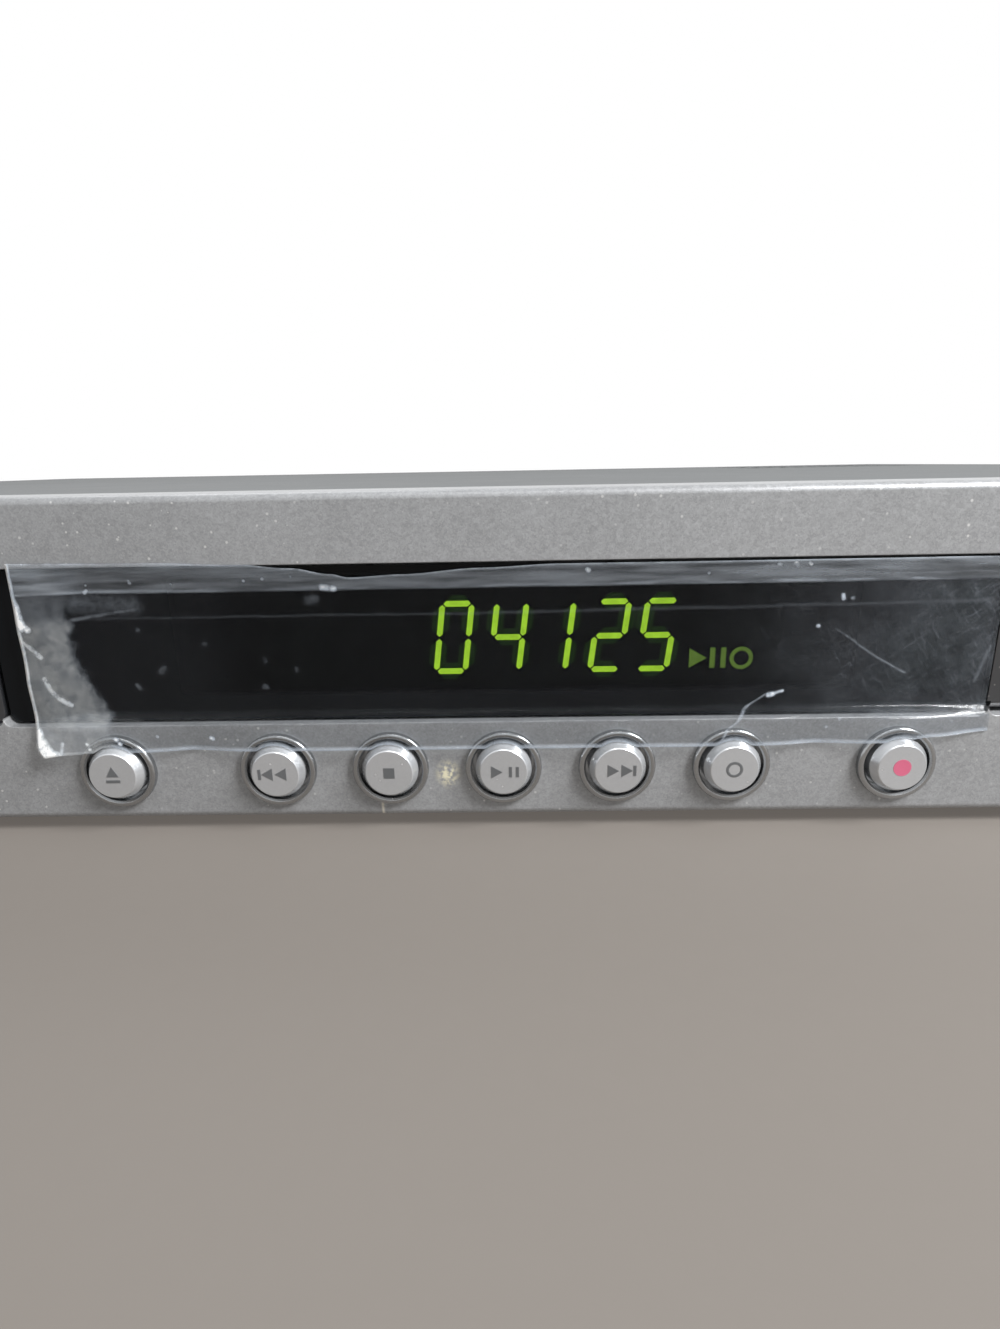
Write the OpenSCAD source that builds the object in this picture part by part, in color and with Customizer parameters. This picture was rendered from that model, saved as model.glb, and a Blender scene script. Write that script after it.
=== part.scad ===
// Slim disc recorder with a motor-driven tray: shells, front controls, disc mechanism, boards and rear sockets.
// The front faces -Y, +X is to the right seen from the front, and the feet stand on Z = 0.

/* [Body] */
// Width over the front bezel
body_w = 430; // [420:1:440]
// Depth from the bezel face to the rear panel
body_d = 282; // [276:1:300]
// Height of the rubber feet
foot_h = 6.5; // [5.5:0.5:10]
// Radius of a foot
foot_r = 14; // [10:0.5:18]
// Distance from a foot's centre to the nearest side and end of the chassis
foot_in = 32; // [22:1:45]
// Gauge of the chassis and cover sheet
sheet_t = 0.8; // [0.6:0.1:1.2]
// Bend radius of the cover's long edges
cover_bend = 2; // [1.5:0.1:3]
// Height of the chassis side walls
wall_h = 15; // [12:0.5:24]

/* [Front] */
// How far the bezel hangs below the chassis floor
bezel_drop = 4; // [3:0.5:5]
// Height of the silver band below the window
lower_band = 17; // [17:0.5:20]
// Height of the black band with the window
window_h = 26.5; // [26:0.5:32]
// Height of the silver band above the window
upper_band = 11; // [10:0.5:16]
// Depth of the bezel moulding
bezel_depth = 12; // [11:0.5:12]
// Thickness of the bezel's front wall
bezel_wall = 2.5; // [2:0.1:3]
// Thickness of the bezel's top, bottom and side walls
bezel_skin = 2; // [1.5:0.1:2.5]
// Rounding of the bezel's long edges
edge_r = 1.2; // [0.8:0.1:1.6]
// Rounding of the bezel's ends seen from above
corner_r = 2; // [1:0.1:3]
// Width of the silver cheek at each end of the black band
cheek = 9; // [8:0.5:12]
// Distance from a side of the disc tray to the same side of its opening
tray_margin = 5.25; // [5:0.25:7.5]
// Width of the display window's opening
window_w = 163; // [155:0.5:170]
// Depth of the black pieces behind the bezel face
recess = 1.5; // [1:0.1:2]
// Corner rounding of the openings in the black band
cusp_r = 1.5; // [1:0.1:1.6]
// Gap all round a door or window in its opening
seam = 0.5; // [0.4:0.05:0.6]
// Thickness of the display window
window_t = 2; // [1.5:0.1:2.5]
// Thickness of the tray door and the jack door
door_t = 3; // [2.6:0.1:3.4]
// Thickness of the ledge behind the doors
ledge_t = 1.5; // [1.2:0.1:2]
// Width of the ledge that carries the window
ledge_w = 3; // [2:0.1:3.5]

/* [Buttons] */
// Height of the button row above the bezel's lower edge
button_up = 9; // [8:0.5:9.5]
// Spacing of the middle buttons
button_pitch = 19; // [17:0.5:21]
// Distance of the outer buttons from the middle one
button_far = 65.3; // [62:0.1:68]
// Distance of the button row's middle from the window's middle
button_shift = 2.1; // [0:0.1:4]
// Distance of the power button from the bezel's left end
power_in = 20; // [16:0.5:26]
// Outer radius of a bright rim
rim_r = 6.4; // [6:0.1:6.6]
// How far a rim stands out of the bezel
rim_proud = 1.1; // [0.5:0.1:1.2]
// Radius of a button cap where it leaves its rim
cap_r = 4.7; // [4.6:0.1:5.1]
// Gap all round a cap in its rim
cap_gap = 0.6; // [0.4:0.05:0.7]
// Radius of a cap's flat face
cap_face_r = 4; // [3.6:0.1:4.4]
// How far a cap stands out of the bezel
cap_proud = 2.5; // [2:0.1:3.5]
// Travel of a button
button_travel = 0.6; // [0.3:0.1:0.6]
// Depth of a push switch
switch_d = 3; // [2.5:0.1:3.5]

/* [Disc mechanism] */
// Width of the disc tray
tray_w = 133; // [131:0.5:134]
// Length of the disc tray
tray_l = 182; // [176:1:188]
// Height of the disc tray over its runners
tray_h = 7.5; // [7.2:0.1:7.8]
// Distance from the top of the black band to the top of the tray
tray_drop = 7.5; // [7:0.5:9]
// Distance from the tray's front to the disc's centre
disc_in = 74; // [72:0.5:76]
// Radius of the recess for a full-size disc
disc_r = 60.5; // [60.2:0.1:61]
// Radius of the recess for a small disc
small_disc_r = 40.5; // [40.2:0.1:41]
// Half width of the slot that clears the turntable and pickup
slot_half = 22; // [20:0.5:24]
// Length of the loader frame
loader_l = 190; // [186:1:196]
// Wall thickness of the loader frame
loader_wall = 3; // [2.5:0.1:3]
// Depth of the loader frame below the tray's top
loader_under = 28.5; // [28:0.5:29]
// Tooth size (module) of the tray gears
tray_m = 1; // [0.9:0.05:1.1]
// Tooth size (module) of the sled gears
sled_m = 0.8; // [0.7:0.05:0.8]
// Loss of tooth thickness that gives the gears their play
backlash = 0.15; // [0.1:0.01:0.2]
// Thickness of the traverse plate
traverse_t = 2; // [1.6:0.1:2.4]
// Distance from the sled gear's teeth to the traverse's rim
sled_room = 0.88; // [0.6:0.02:2]
// Travel of the cam slider
cam_travel = 18; // [16:0.5:18]
// Angle by which the traverse tilts down
tilt = 4.5; // [3:0.1:4.5]
// Radius of the pickup's guide rods
rod_r = 1.5; // [1.3:0.05:1.6]
// Travel of the pickup
pickup_travel = 36; // [34:0.5:36]
// Running clearance of shafts in their bores
shaft_fit = 0.06; // [0.03:0.01:0.09]

/* [Boards and rear] */
// Thickness of the circuit boards
board_t = 1.6; // [1.2:0.1:2]
// Height of the posts under the main and power boards
post_h = 6; // [5:0.5:8]
// Width of the power board
power_w = 80; // [76:1:90]
// Gap between the main board and the power board
board_gap = 8; // [6:0.5:12]
// Length of the sockets behind the rear panel
jack_len = 9.5; // [9:0.5:12]
// Spacing of the phono sockets along the panel
jack_pitch = 15; // [14:0.5:16]
// Radius of a phono socket's outer shell
phono_r = 4.15; // [4.1:0.05:4.25]
// Radius of an aerial socket's barrel
aerial_r = 4.75; // [4.6:0.05:4.8]
// Side of the cooling fan
fan_w = 40; // [36:1:42]
// Depth of the cooling fan
fan_d = 10; // [10:0.5:15]

/* [Hidden] */
$fn = 48;

rest_gap = 0.3;     // between pieces that move past each other
total_d = body_d + cap_proud + jack_len;
y_face = -total_d / 2 + cap_proud;
y_back = y_face + body_d;
y_bezel = y_face + bezel_depth;
floor_z = foot_h + sheet_t;
bezel_z = foot_h - bezel_drop;
win_z0 = bezel_z + lower_band;
win_z1 = win_z0 + window_h;
top_z = win_z1 + upper_band;

cover_half = body_w / 2 - 1.2;
chassis_half = cover_half - sheet_t;
tray_x0 = -body_w / 2 + cheek;
win_x0 = tray_x0 + tray_w + 2 * tray_margin;
win_x1 = win_x0 + window_w;
flap_x1 = body_w / 2 - cheek;
win_mid = (win_x0 + win_x1) / 2;
panel_y = y_face + recess;
ledge_y = panel_y + door_t + rest_gap;

button_z = bezel_z + button_up;
row_mid = win_mid + button_shift;
button_xs = [for (d = [-button_far, -2 * button_pitch, -button_pitch, 0, button_pitch, 2 * button_pitch,
    button_far]) row_mid + d];
power_x = -body_w / 2 + power_in;
rim_in = cap_r + cap_gap;
sleeve_r = rim_in + 0.5;
board_y = y_face + bezel_depth + 0.1;
switch_nub = 1.1;
stem_end = board_y - switch_d - switch_nub - button_travel - rest_gap;
flange_r = sleeve_r + 0.6;

lx = (tray_x0 + win_x0) / 2;
tray_y0 = panel_y + door_t;
tray_y1 = tray_y0 + tray_l;
tray_z1 = win_z1 - tray_drop;
tray_z0 = tray_z1 - tray_h;
seat_z = tray_z1 - 2.2;
small_seat_z = seat_z - 1;
plate_z = tray_z1 - 4.7;
tray_side = 0.5;
sy = tray_y0 + disc_in;
loader_y0 = board_y + board_t + 0.8;
loader_y1 = loader_y0 + loader_l;
loader_z0 = tray_z1 - loader_under;
loader_z1 = tray_z1 + 4.5;
loader_in = tray_w / 2 + tray_side;
loader_out = loader_in + loader_wall;
guide_w = 5;
base_flange = 7;
deck_z = tray_z1 - 17;
deck_t = 2;
deck_top = deck_z + deck_t;
rack_z = tray_z1 - 9;
lug_x = loader_out + 3.5;
lug_r = 4;
lug_t = 2.5;
lug_ys = [loader_y0 + 10, loader_y1 - 10];

tray_teeth = 24;
pinion_teeth = 10;
tray_gear_r = tray_m * tray_teeth / 2;
pinion_r = tray_m * pinion_teeth / 2;
rack_x = -tray_w / 2 + 14.5;
gear_y = loader_y0 + 18;
tray_gear_x = rack_x + tray_gear_r;
pulley_x = tray_gear_x + tray_gear_r + pinion_r;
pulley_r = 11.8;
motor_pulley_r = 3;
belt_span = 34;
motor_x = pulley_x + belt_span;
belt_t = 1.2;
axle_r = 2;
gear_z = rack_z + 0.4;
gear_t = 3;

hinge_y = tray_y1 + 6;
traverse_z1 = tray_z1 - 12.5;
traverse_z0 = traverse_z1 - traverse_t;
wall_y = gear_y + tray_gear_r + tray_m + 0.4;
wall_t = 2;
cam_y = wall_y + wall_t + rest_gap;
cam_t = 3;
traverse_y0 = cam_y + cam_t + 0.6;
traverse_y1 = hinge_y + 4;
pin_r = 1.5;
pin_len = cam_t + 0.5;
cam_pin_y = traverse_y0 - pin_len / 2;
cam_drop = (hinge_y - cam_pin_y) * sin(tilt);
cam_pin_xs = [-15, 35];
cam_x0 = -47;
cam_x1 = loader_in - base_flange - cam_travel - 1;
rim_t = 3;
rim_h = 3;

rod_x = 20;
rod_z = traverse_z1 + 4.5;
lens_y = sy + 22;
rod_y0 = sy + 4;
rod_y1 = lens_y + pickup_travel + 22;
sled_teeth = 14;
sled_wheel_teeth = 32;
sled_motor_teeth = 10;
sled_rack_x = -27;
sled_x = sled_rack_x - sled_m * sled_teeth / 2;
sled_y = sy + 42;
sled_motor_y = sled_y + sled_m * (sled_wheel_teeth + sled_motor_teeth) / 2;
traverse_half = sled_m * (sled_wheel_teeth / 2 + 0.9) - sled_x + sled_room + rim_t;
turn_z = seat_z + 2;

board_z = floor_z + post_h;
board_top = board_z + board_t;
power_x1 = body_w / 2 - 9;
power_x0 = power_x1 - power_w;
main_x0 = lx + lug_x + lug_r + 2.75;
main_x1 = power_x0 - board_gap;
main_y0 = y_face + 45;
main_y1 = y_back - 9;
power_y0 = y_face + 45;
power_y1 = y_back - 6;
low_row = board_top + 9;
high_row = low_row + 18;
phono_xs = [for (i = [0:4]) main_x0 + 74 + i * jack_pitch];
aerial_x = main_x0 + 34;
optical_x = main_x0 + 7;
video_x = phono_xs[4] + 18;
inlet_x = power_x1 - 26;
inlet_z = board_top + 10;
fan_x = lx;
fan_z = floor_z + 2 + fan_w / 2;
fan_bore = fan_w / 2 - 1;

// ---- Helpers ----
// Box between two opposite corners
module block(a, b) { translate(a) cube(b - a); }

// Rectangle with rounded corners, between two corners
module rounded(a, b, r) {
    translate([a.x + r, a.y]) square([b.x - a.x - 2 * r, b.y - a.y]);
    translate([a.x, a.y + r]) square([b.x - a.x, b.y - a.y - 2 * r]);
    for (x = [a.x + r, b.x - r], y = [a.y + r, b.y - r]) translate([x, y]) circle(r);
}

// Extrusions along each axis between two values; the outline reads (Y,Z), (X,Z) and (X,Y)
module along_x(x0, x1) { translate([x0, 0, 0]) rotate([90, 0, 90]) linear_extrude(x1 - x0) children(); }
module along_y(y0, y1) { translate([0, y1, 0]) rotate([90, 0, 0]) linear_extrude(y1 - y0) children(); }
module along_z(z0, z1) { translate([0, 0, z0]) linear_extrude(z1 - z0) children(); }

// Round bars along each axis between two values
module bar_x(x0, x1, y, z, r) { along_x(x0, x1) translate([y, z]) circle(r); }
module bar_y(y0, y1, x, z, r) { along_y(y0, y1) translate([x, z]) circle(r); }
module bar_z(z0, z1, x, y, r) { along_z(z0, z1) translate([x, y]) circle(r); }

// A turned shape whose axis points out of the front; outline reads (radius, distance in front of y)
module turned_front(x, y, z) { translate([x, y, z]) rotate([90, 0, 0]) rotate_extrude() children(); }

// A turned shape whose axis points out of the rear
module turned_rear(x, y, z) { translate([x, y, z]) rotate([-90, 0, 0]) rotate_extrude() children(); }

// Involute gear outline; a tooth is centred on the +X axis
pressure = 20;
function roll(a) = tan(a) - a * PI / 180;
function half_tooth(m, n, r) = let (pitch = m * n / 2, base = pitch * cos(pressure))
    (PI / (2 * n) - backlash / (2 * pitch) + roll(pressure) - roll(acos(min(1, base / r)))) * 180 / PI;
function gear_outline(m, n) = let (pitch = m * n / 2, base = pitch * cos(pressure), root = pitch - 1.25 * m,
    tip = pitch + 0.9 * m, start = max(base, root), flank = [start, (start + tip) / 2, tip])
    [for (i = [0:n - 1]) each let (a = 360 * i / n, foot = half_tooth(m, n, start)) concat(
        [[root * cos(a - foot), root * sin(a - foot)]],
        [for (r = flank) let (h = half_tooth(m, n, r)) [r * cos(a - h), r * sin(a - h)]],
        [for (k = [2:-1:0]) let (r = flank[k], h = half_tooth(m, n, r)) [r * cos(a + h), r * sin(a + h)]],
        [[root * cos(a + foot), root * sin(a + foot)]])];

// Rack outline along Y with teeth towards +X; teeth at half pitches from y = 0, pitch line at x = 0
function rack_outline(m, first, last, back) = let (p = PI * m, w = p / 4 - backlash / 2, t = tan(pressure))
    concat([[-back, (first - 0.05) * p]], [for (k = [first:last]) each [
        [-1.2 * m, (k + 0.5) * p - w - 1.2 * m * t], [0.9 * m, (k + 0.5) * p - w + 0.9 * m * t],
        [0.9 * m, (k + 0.5) * p + w - 0.9 * m * t], [-1.2 * m, (k + 0.5) * p + w + 1.2 * m * t]]],
        [[-back, (last + 1.05) * p]]);

// Outline round two circles at a distance d along X, as a belt lies on its pulleys
function belt_points(r1, r2, d) = let (wrap = acos((r1 - r2) / d), turns = 30)
    concat([for (i = [0:turns]) let (a = wrap + (360 - 2 * wrap) * i / turns) [r1 * cos(a), r1 * sin(a)]],
        [for (i = [0:turns]) let (a = -wrap + 2 * wrap * i / turns) [d + r2 * cos(a), r2 * sin(a)]]);

// Pan-head screw with a cross recess; the head lies on z = 0 and the shank goes down
module screw(head_r, head_h, shank_r, shank_l) {
    difference() {
        union() {
            rotate_extrude() polygon([[0, 0], [head_r, 0], [head_r, head_h * 0.55], [head_r * 0.7, head_h],
                [0, head_h]]);
            translate([0, 0, -shank_l]) cylinder(h = shank_l, r = shank_r);
        }
        for (a = [0, 90]) rotate([0, 0, a]) translate([-head_r * 0.6, -0.25, head_h * 0.4])
            cube([head_r * 1.2, 0.5, head_h]);
    }
}

// ---- Shells ----
cover_screw_ys = [y_face + 52, y_back - 48];
cover_screw_z = floor_z + wall_h - 6;
lip_h = 8;
lip_xs = [-body_w / 2 + 16, 0, body_w / 2 - 16];
lip_z = top_z - 4.6;
front_flange_y = loader_y0;
front_flange_x = win_x0 + 8;
tab_w = 24;
tab_xs = [lx, win_mid, (win_x1 + flap_x1) / 2];

module base_chassis() color("lightgray") difference() {
    union() {
        block([-chassis_half, y_bezel + 2, foot_h], [chassis_half, y_back - sheet_t, floor_z]);
        for (s = [-1, 1]) {
            block([s > 0 ? chassis_half - sheet_t : -chassis_half, y_bezel, foot_h],
                [s > 0 ? chassis_half : sheet_t - chassis_half, y_back - sheet_t, floor_z + wall_h]);
        }
        block([front_flange_x, front_flange_y, foot_h], [chassis_half, front_flange_y + sheet_t, floor_z + 10]);
        block([-chassis_half, y_back - 2 * sheet_t, foot_h], [chassis_half, y_back - sheet_t, floor_z + 1.6]);
        for (s = [-1, 1], y = lug_ys) bar_z(foot_h, loader_z0, lx + s * lug_x, y, lug_r);
        for (p = board_posts) bar_z(foot_h, board_z, p.x, p.y, 3);
        for (i = [0:3]) along_z(foot_h, floor_z + 1)
            rounded([lx - 45, -24 + i * 32], [lx + 45, -18 + i * 32], 2.9);
    }
    for (s = [-1, 1], y = lug_ys) bar_z(foot_h - 1, loader_z0 + 1, lx + s * lug_x, y, 1.7);
    for (p = board_posts) bar_z(foot_h - 1, board_z + 1, p.x, p.y, 1.3);
    for (s = [-1, 1], y = cover_screw_ys)
        bar_x(s * chassis_half - 2, s * chassis_half + 2, y, cover_screw_z, 1.6);
    for (i = [0:9], j = [0:1]) along_z(foot_h - 1, floor_z + 1)
        rounded([power_x0 + 8 + i * 7, 20 + j * 34], [power_x0 + 11 + i * 7, 46 + j * 34], 1.4);
}

board_posts = [
    [main_x0 + 6, main_y0 + 6], [main_x1 - 6, main_y0 + 6], [main_x0 + 6, main_y1 - 48], [main_x1 - 6, main_y1 - 48],
    [power_x0 + 6, power_y0 + 6], [power_x1 - 6, power_y0 + 6], [power_x0 + 6, power_y1 - 30],
    [power_x1 - 6, power_y1 - 30]
];

module rear_panel() color("silver") difference() {
    union() {
        along_y(y_back - sheet_t, y_back) difference() {
            rounded([-chassis_half, foot_h - 5], [chassis_half, top_z - sheet_t], cover_bend - sheet_t);
            translate([-chassis_half - 1, foot_h - 10]) square([2 * chassis_half + 2, 10]);
        }
        block([2 - chassis_half, y_back - 9, top_z - 2 * sheet_t], [chassis_half - 2, y_back, top_z - sheet_t]);
    }
    for (x = phono_xs, z = [low_row, high_row]) bar_y(y_back - 2, y_back + 1, x, z, 5.7);
    for (z = [low_row, high_row]) {
        bar_y(y_back - 2, y_back + 1, aerial_x, z, aerial_r + 1.8);
        bar_y(y_back - 2, y_back + 1, video_x, z, 6.2);
    }
    block([optical_x - 5.2, y_back - 2, low_row - 5.2], [optical_x + 5.2, y_back + 1, low_row + 5.2]);
    along_y(y_back - 2, y_back + 1) rounded([inlet_x - 11.2, inlet_z - 7.2], [inlet_x + 11.2, inlet_z + 7.2], 3);
    for (k = [1:3], i = [0:6 * k - 1]) bar_y(y_back - 2, y_back + 1, fan_x + 5.3 * k * cos(i * 60 / k),
        fan_z + 5.3 * k * sin(i * 60 / k), 1.9);
    for (p = fan_holes) bar_y(y_back - 2, y_back + 1, p.x, p.y, 1.6);
    for (x = lip_xs) bar_y(y_back - 2, y_back + 1, x, lip_z, 1.6);
}

fan_holes = [for (sx = [-1, 1], sz = [-1, 1]) [fan_x + sx * (fan_w / 2 - 4), fan_z + sz * (fan_w / 2 - 4)]];

module top_cover() color("gray") difference() {
    union() {
        along_y(y_bezel, y_back + sheet_t) difference() {
            rounded([-cover_half, floor_z - 10], [cover_half, top_z], cover_bend);
            rounded([-cover_half + sheet_t, floor_z - 11], [cover_half - sheet_t, top_z - sheet_t],
                cover_bend - sheet_t);
            translate([-cover_half - 1, -20]) square([body_w + 2, foot_h + 20]);
        }
        block([-cover_half + cover_bend, y_back, top_z - lip_h],
            [cover_half - cover_bend, y_back + sheet_t, top_z - sheet_t]);
    }
    for (s = [-1, 1], y = cover_screw_ys)
        bar_x(s * cover_half - 2, s * cover_half + 2, y, cover_screw_z, 1.6);
    for (x = lip_xs) bar_y(y_back - 1, y_back + 2, x, lip_z, 1.6);
    for (s = [-1, 1], i = [0:9]) along_x(s * cover_half - 3, s * cover_half + 3)
        rounded([y_back - 110 + i * 6, 30], [y_back - 107.5 + i * 6, 44], 1.2);
    for (i = [0:11], j = [0:1]) along_z(top_z - 2, top_z + 1)
        rounded([power_x0 - 4 + i * 6, y_back - 90 + j * 34], [power_x0 - 1.5 + i * 6, y_back - 64 + j * 34], 1.2);
}

// A recess in the black band: one rounded opening, pulled in by gap
module band_outline(x0, x1, gap) {
    rounded([x0 + gap, win_z0 + gap], [x1 - gap, win_z1 - gap], cusp_r);
}

module front_bezel() color("silver") {
    bezel_moulding();
    door_knuckles();
}

module bezel_moulding() difference() {
    union() {
        difference() {
            intersection() {
                along_x(-body_w / 2, body_w / 2) rounded([y_face, bezel_z], [y_bezel + 9, top_z], edge_r);
                along_z(bezel_z - 1, top_z + 1)
                    rounded([-body_w / 2, y_face], [body_w / 2, y_bezel + 9], corner_r);
                block([-body_w, y_face - 1, 0], [body_w, y_bezel, top_z + 1]);
            }
            block([-body_w / 2 + bezel_skin, y_face + bezel_wall, bezel_z + bezel_skin],
                [body_w / 2 - bezel_skin, y_bezel + 1, top_z - bezel_skin]);
        }
        block([tray_x0 - 2, y_face + 1, win_z0 - 2], [flap_x1 + 2, ledge_y + ledge_t, win_z1 + 2]);
        for (x = tab_xs) block([x - tab_w / 2, y_bezel - 3, bezel_z + bezel_skin - 0.5],
            [x + tab_w / 2, y_bezel + 10, foot_h]);
        for (x = board_boss_xs) bar_y(y_face + 1, board_y, x, button_z, 2.5);
    }
    along_y(y_face - 1, ledge_y) {
        band_outline(tray_x0, win_x0, 0);
        band_outline(win_x0, win_x1, 0);
        band_outline(win_x1, flap_x1, 0);
        translate([tray_x0 + 4, win_z0 + cusp_r]) square([flap_x1 - tray_x0 - 8, window_h - 2 * cusp_r]);
    }
    block([lx - tray_w / 2 - 2, y_face, tray_z0 - 10], [lx + tray_w / 2 + 2, y_bezel, win_z1 - 1.5]);
    block([win_x0 + ledge_w, y_face, win_z0 + 2.5], [win_x1 - ledge_w, y_bezel, win_z1 - 2.5]);
    block([win_x1 + ledge_w, y_face, win_z0 + 2.5], [flap_x1 - ledge_w, y_bezel, win_z1 - 2.5]);
    for (x = concat(button_xs, [power_x])) {
        bar_y(y_face - 1, y_face + bezel_wall + 1, x, button_z, sleeve_r + 0.05);
        bar_y(y_face + bezel_wall, ledge_y + ledge_t + 1, x, button_z, flange_r + rest_gap);
    }
}

// Knuckles that carry the jack door's pins
module door_knuckles() {
    for (x = knuckle_xs) along_x(x - knuckle_w / 2, x + knuckle_w / 2) difference() {
        union() {
            translate([hinge_door_y, hinge_door_z]) circle(door_t / 2);
            translate([hinge_door_y, win_z0 - 0.5]) square([ledge_y - hinge_door_y + 0.5, door_t + seam + 0.5]);
        }
        translate([hinge_door_y, hinge_door_z]) circle(door_pin_r + shaft_fit);
    }
}

boss_off = (2 * button_pitch + button_far) / 2;
board_boss_xs = [row_mid - boss_off, row_mid + boss_off, power_x + 11];

// Hinge of the jack door: two knuckles with bores, which the door's pin passes through
hinge_door_y = panel_y + door_t / 2;
hinge_door_z = win_z0 + seam + door_t / 2;
knuckle_w = 3.4;
knuckle_xs = [win_x1 + 16, flap_x1 - 16];
door_pin_r = 0.9;

module rubber_feet() color("dimgray") {
    for (sx = [-1, 1], y = [y_bezel + foot_in, y_back - foot_in])
        translate([sx * (chassis_half - foot_in), y, 0]) rotate_extrude()
            polygon([[0, 1], [foot_r - 5, 1], [foot_r - 4, 0], [foot_r - 1.5, 0], [foot_r, 1.5], [foot_r, foot_h],
                [0, foot_h]]);
}

module cover_screws() color("silver") {
    for (s = [-1, 1], y = cover_screw_ys)
        translate([s * cover_half, y, cover_screw_z]) rotate([0, s * 90, 0]) screw(3, 1.2, 1.4, 6);
    for (x = lip_xs)
        translate([x, y_back + sheet_t, lip_z]) rotate([-90, 0, 0]) screw(3, 1.2, 1.4, 6);
    for (p = fan_holes)
        translate([p.x, y_back, p.y]) rotate([-90, 0, 0]) screw(3, 1.2, 1.4, 8);
}

// ---- Front controls ----
module display_window() color("black") difference() {
    along_y(panel_y, ledge_y) band_outline(win_x0, win_x1, seam);
    block([win_x0 + ledge_w, panel_y + window_t, win_z0 + 2.5], [win_x1 - ledge_w, ledge_y + 1, win_z1 - 2.5]);
}

film_in = 5.3;
film_t = 0.2;
film_under = 4.3;
film_over = 0.8;

module protective_film() color("white") difference() {
    block([win_x0 + film_in, y_face - film_t, win_z0 - film_under], [win_x1 + seam, y_face, win_z1 + film_over]);
    for (x = button_xs) bar_y(y_face - 1, y_face + 1, x, button_z, rim_r + rest_gap);
}

tube_half = 50;
tube_front = panel_y + window_t + 0.9;
module display_tube() color("darkslategray") {
    block([win_mid - tube_half, tube_front, win_z0 + 3], [win_mid + tube_half, board_y, win_z1 - 3]);
    block([win_mid + tube_half, board_y - 3.5, win_z0 + 8], [win_mid + tube_half + 4, board_y - 1, win_z0 + 12]);
}

// Seven-segment numerals: segments a to g of each digit, drawn as slim bars
segment_w = 1.2;
digit_w = 4.2;
digit_h = 11.1;
digit_pitch = 8.5;
digit_x0 = win_mid - 8.3;
digit_z0 = win_z0 + 8.2;
digit_t = 0.3;
segments_of = ["abcdef", "bc", "abged", "abgcd", "fgbc", "afgcd"];
shown = [0, 4, 1, 2, 5];
function lit(d, s) = len(search(s, segments_of[d])) > 0;

module segment_h(z) { translate([0.65, z - segment_w / 2]) square([digit_w - 1.3, segment_w]); }
module segment_v(x, z) { translate([x - segment_w / 2, z + 0.35]) square([segment_w, digit_h / 2 - 0.7]); }

module numeral(d) {
    if (lit(d, "a")) segment_h(digit_h);
    if (lit(d, "g")) segment_h(digit_h / 2);
    if (lit(d, "d")) segment_h(0);
    if (lit(d, "f")) segment_v(0, digit_h / 2);
    if (lit(d, "b")) segment_v(digit_w, digit_h / 2);
    if (lit(d, "e")) segment_v(0, 0);
    if (lit(d, "c")) segment_v(digit_w, 0);
}

module display_digits() color("yellowgreen") {
    along_y(tube_front - digit_t, tube_front) {
        for (i = [0:len(shown) - 1]) translate([digit_x0 + i * digit_pitch, digit_z0]) numeral(shown[i]);
        translate([digit_x0 + 5 * digit_pitch - 1, digit_z0 - segment_w / 2]) {
            polygon([[0, 0], [3, 1.9], [0, 3.8]]);
            for (k = [0, 1]) translate([4.2 + k * 1.7, 0]) square([0.8, 3.8]);
            translate([9.6, 1.9]) difference() { circle(1.9); circle(1.2); }
        }
    }
}

rim_round = min(0.45, (rim_r - rim_in) / 2);

module rim(x) turned_front(x, y_face, button_z)
    polygon(concat([[rim_in, -bezel_wall], [sleeve_r, -bezel_wall], [sleeve_r, 0], [rim_r, 0]],
        [for (a = [0:22.5:90]) [rim_r - rim_round * (1 - cos(a)), rim_proud - rim_round * (1 - sin(a))]],
        [[rim_in + 0.3, rim_proud], [rim_in, rim_proud - 0.3]]));

module button_rims() color("gainsboro") { for (x = concat(button_xs, [power_x])) rim(x); }

// A push button: tapered cap, retaining flange behind the bezel wall, and a stem for the switch
module button(x) {
    back = bezel_wall + rest_gap;
    turned_front(x, y_face, button_z)
        polygon([[0, y_face - stem_end], [1.8, y_face - stem_end], [1.8, -back - 1.2], [flange_r, -back - 1.2],
            [flange_r, -back], [cap_r, -back], [cap_r, rim_proud], [cap_face_r, cap_proud - 0.15],
            [cap_face_r - 0.15, cap_proud], [0, cap_proud]]);
}
module eject_button() color("silver") button(button_xs[0]);
module previous_button() color("silver") button(button_xs[1]);
module stop_button() color("silver") button(button_xs[2]);
module play_pause_button() color("silver") button(button_xs[3]);
module next_button() color("silver") button(button_xs[4]);
module repeat_button() color("silver") button(button_xs[5]);
module record_button() color("silver") button(button_xs[6]);
module power_button() color("silver") button(power_x);

module front_boards() color("darkgreen") {
    block([win_x0 + 4.5, board_y, foot_h + rest_gap], [win_x1 - 1, board_y + board_t, win_z1 - 1]);
    block([power_x - 10, board_y, foot_h + rest_gap], [power_x + 16, board_y + board_t, win_z0 - 0.5]);
}

module push_switches() color("black") {
    for (x = concat(button_xs, [power_x])) {
        block([x - 3, board_y - switch_d, button_z - 3], [x + 3, board_y, button_z + 3]);
        bar_y(board_y - switch_d - switch_nub, board_y - switch_d, x, button_z, 1.6);
    }
}

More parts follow.
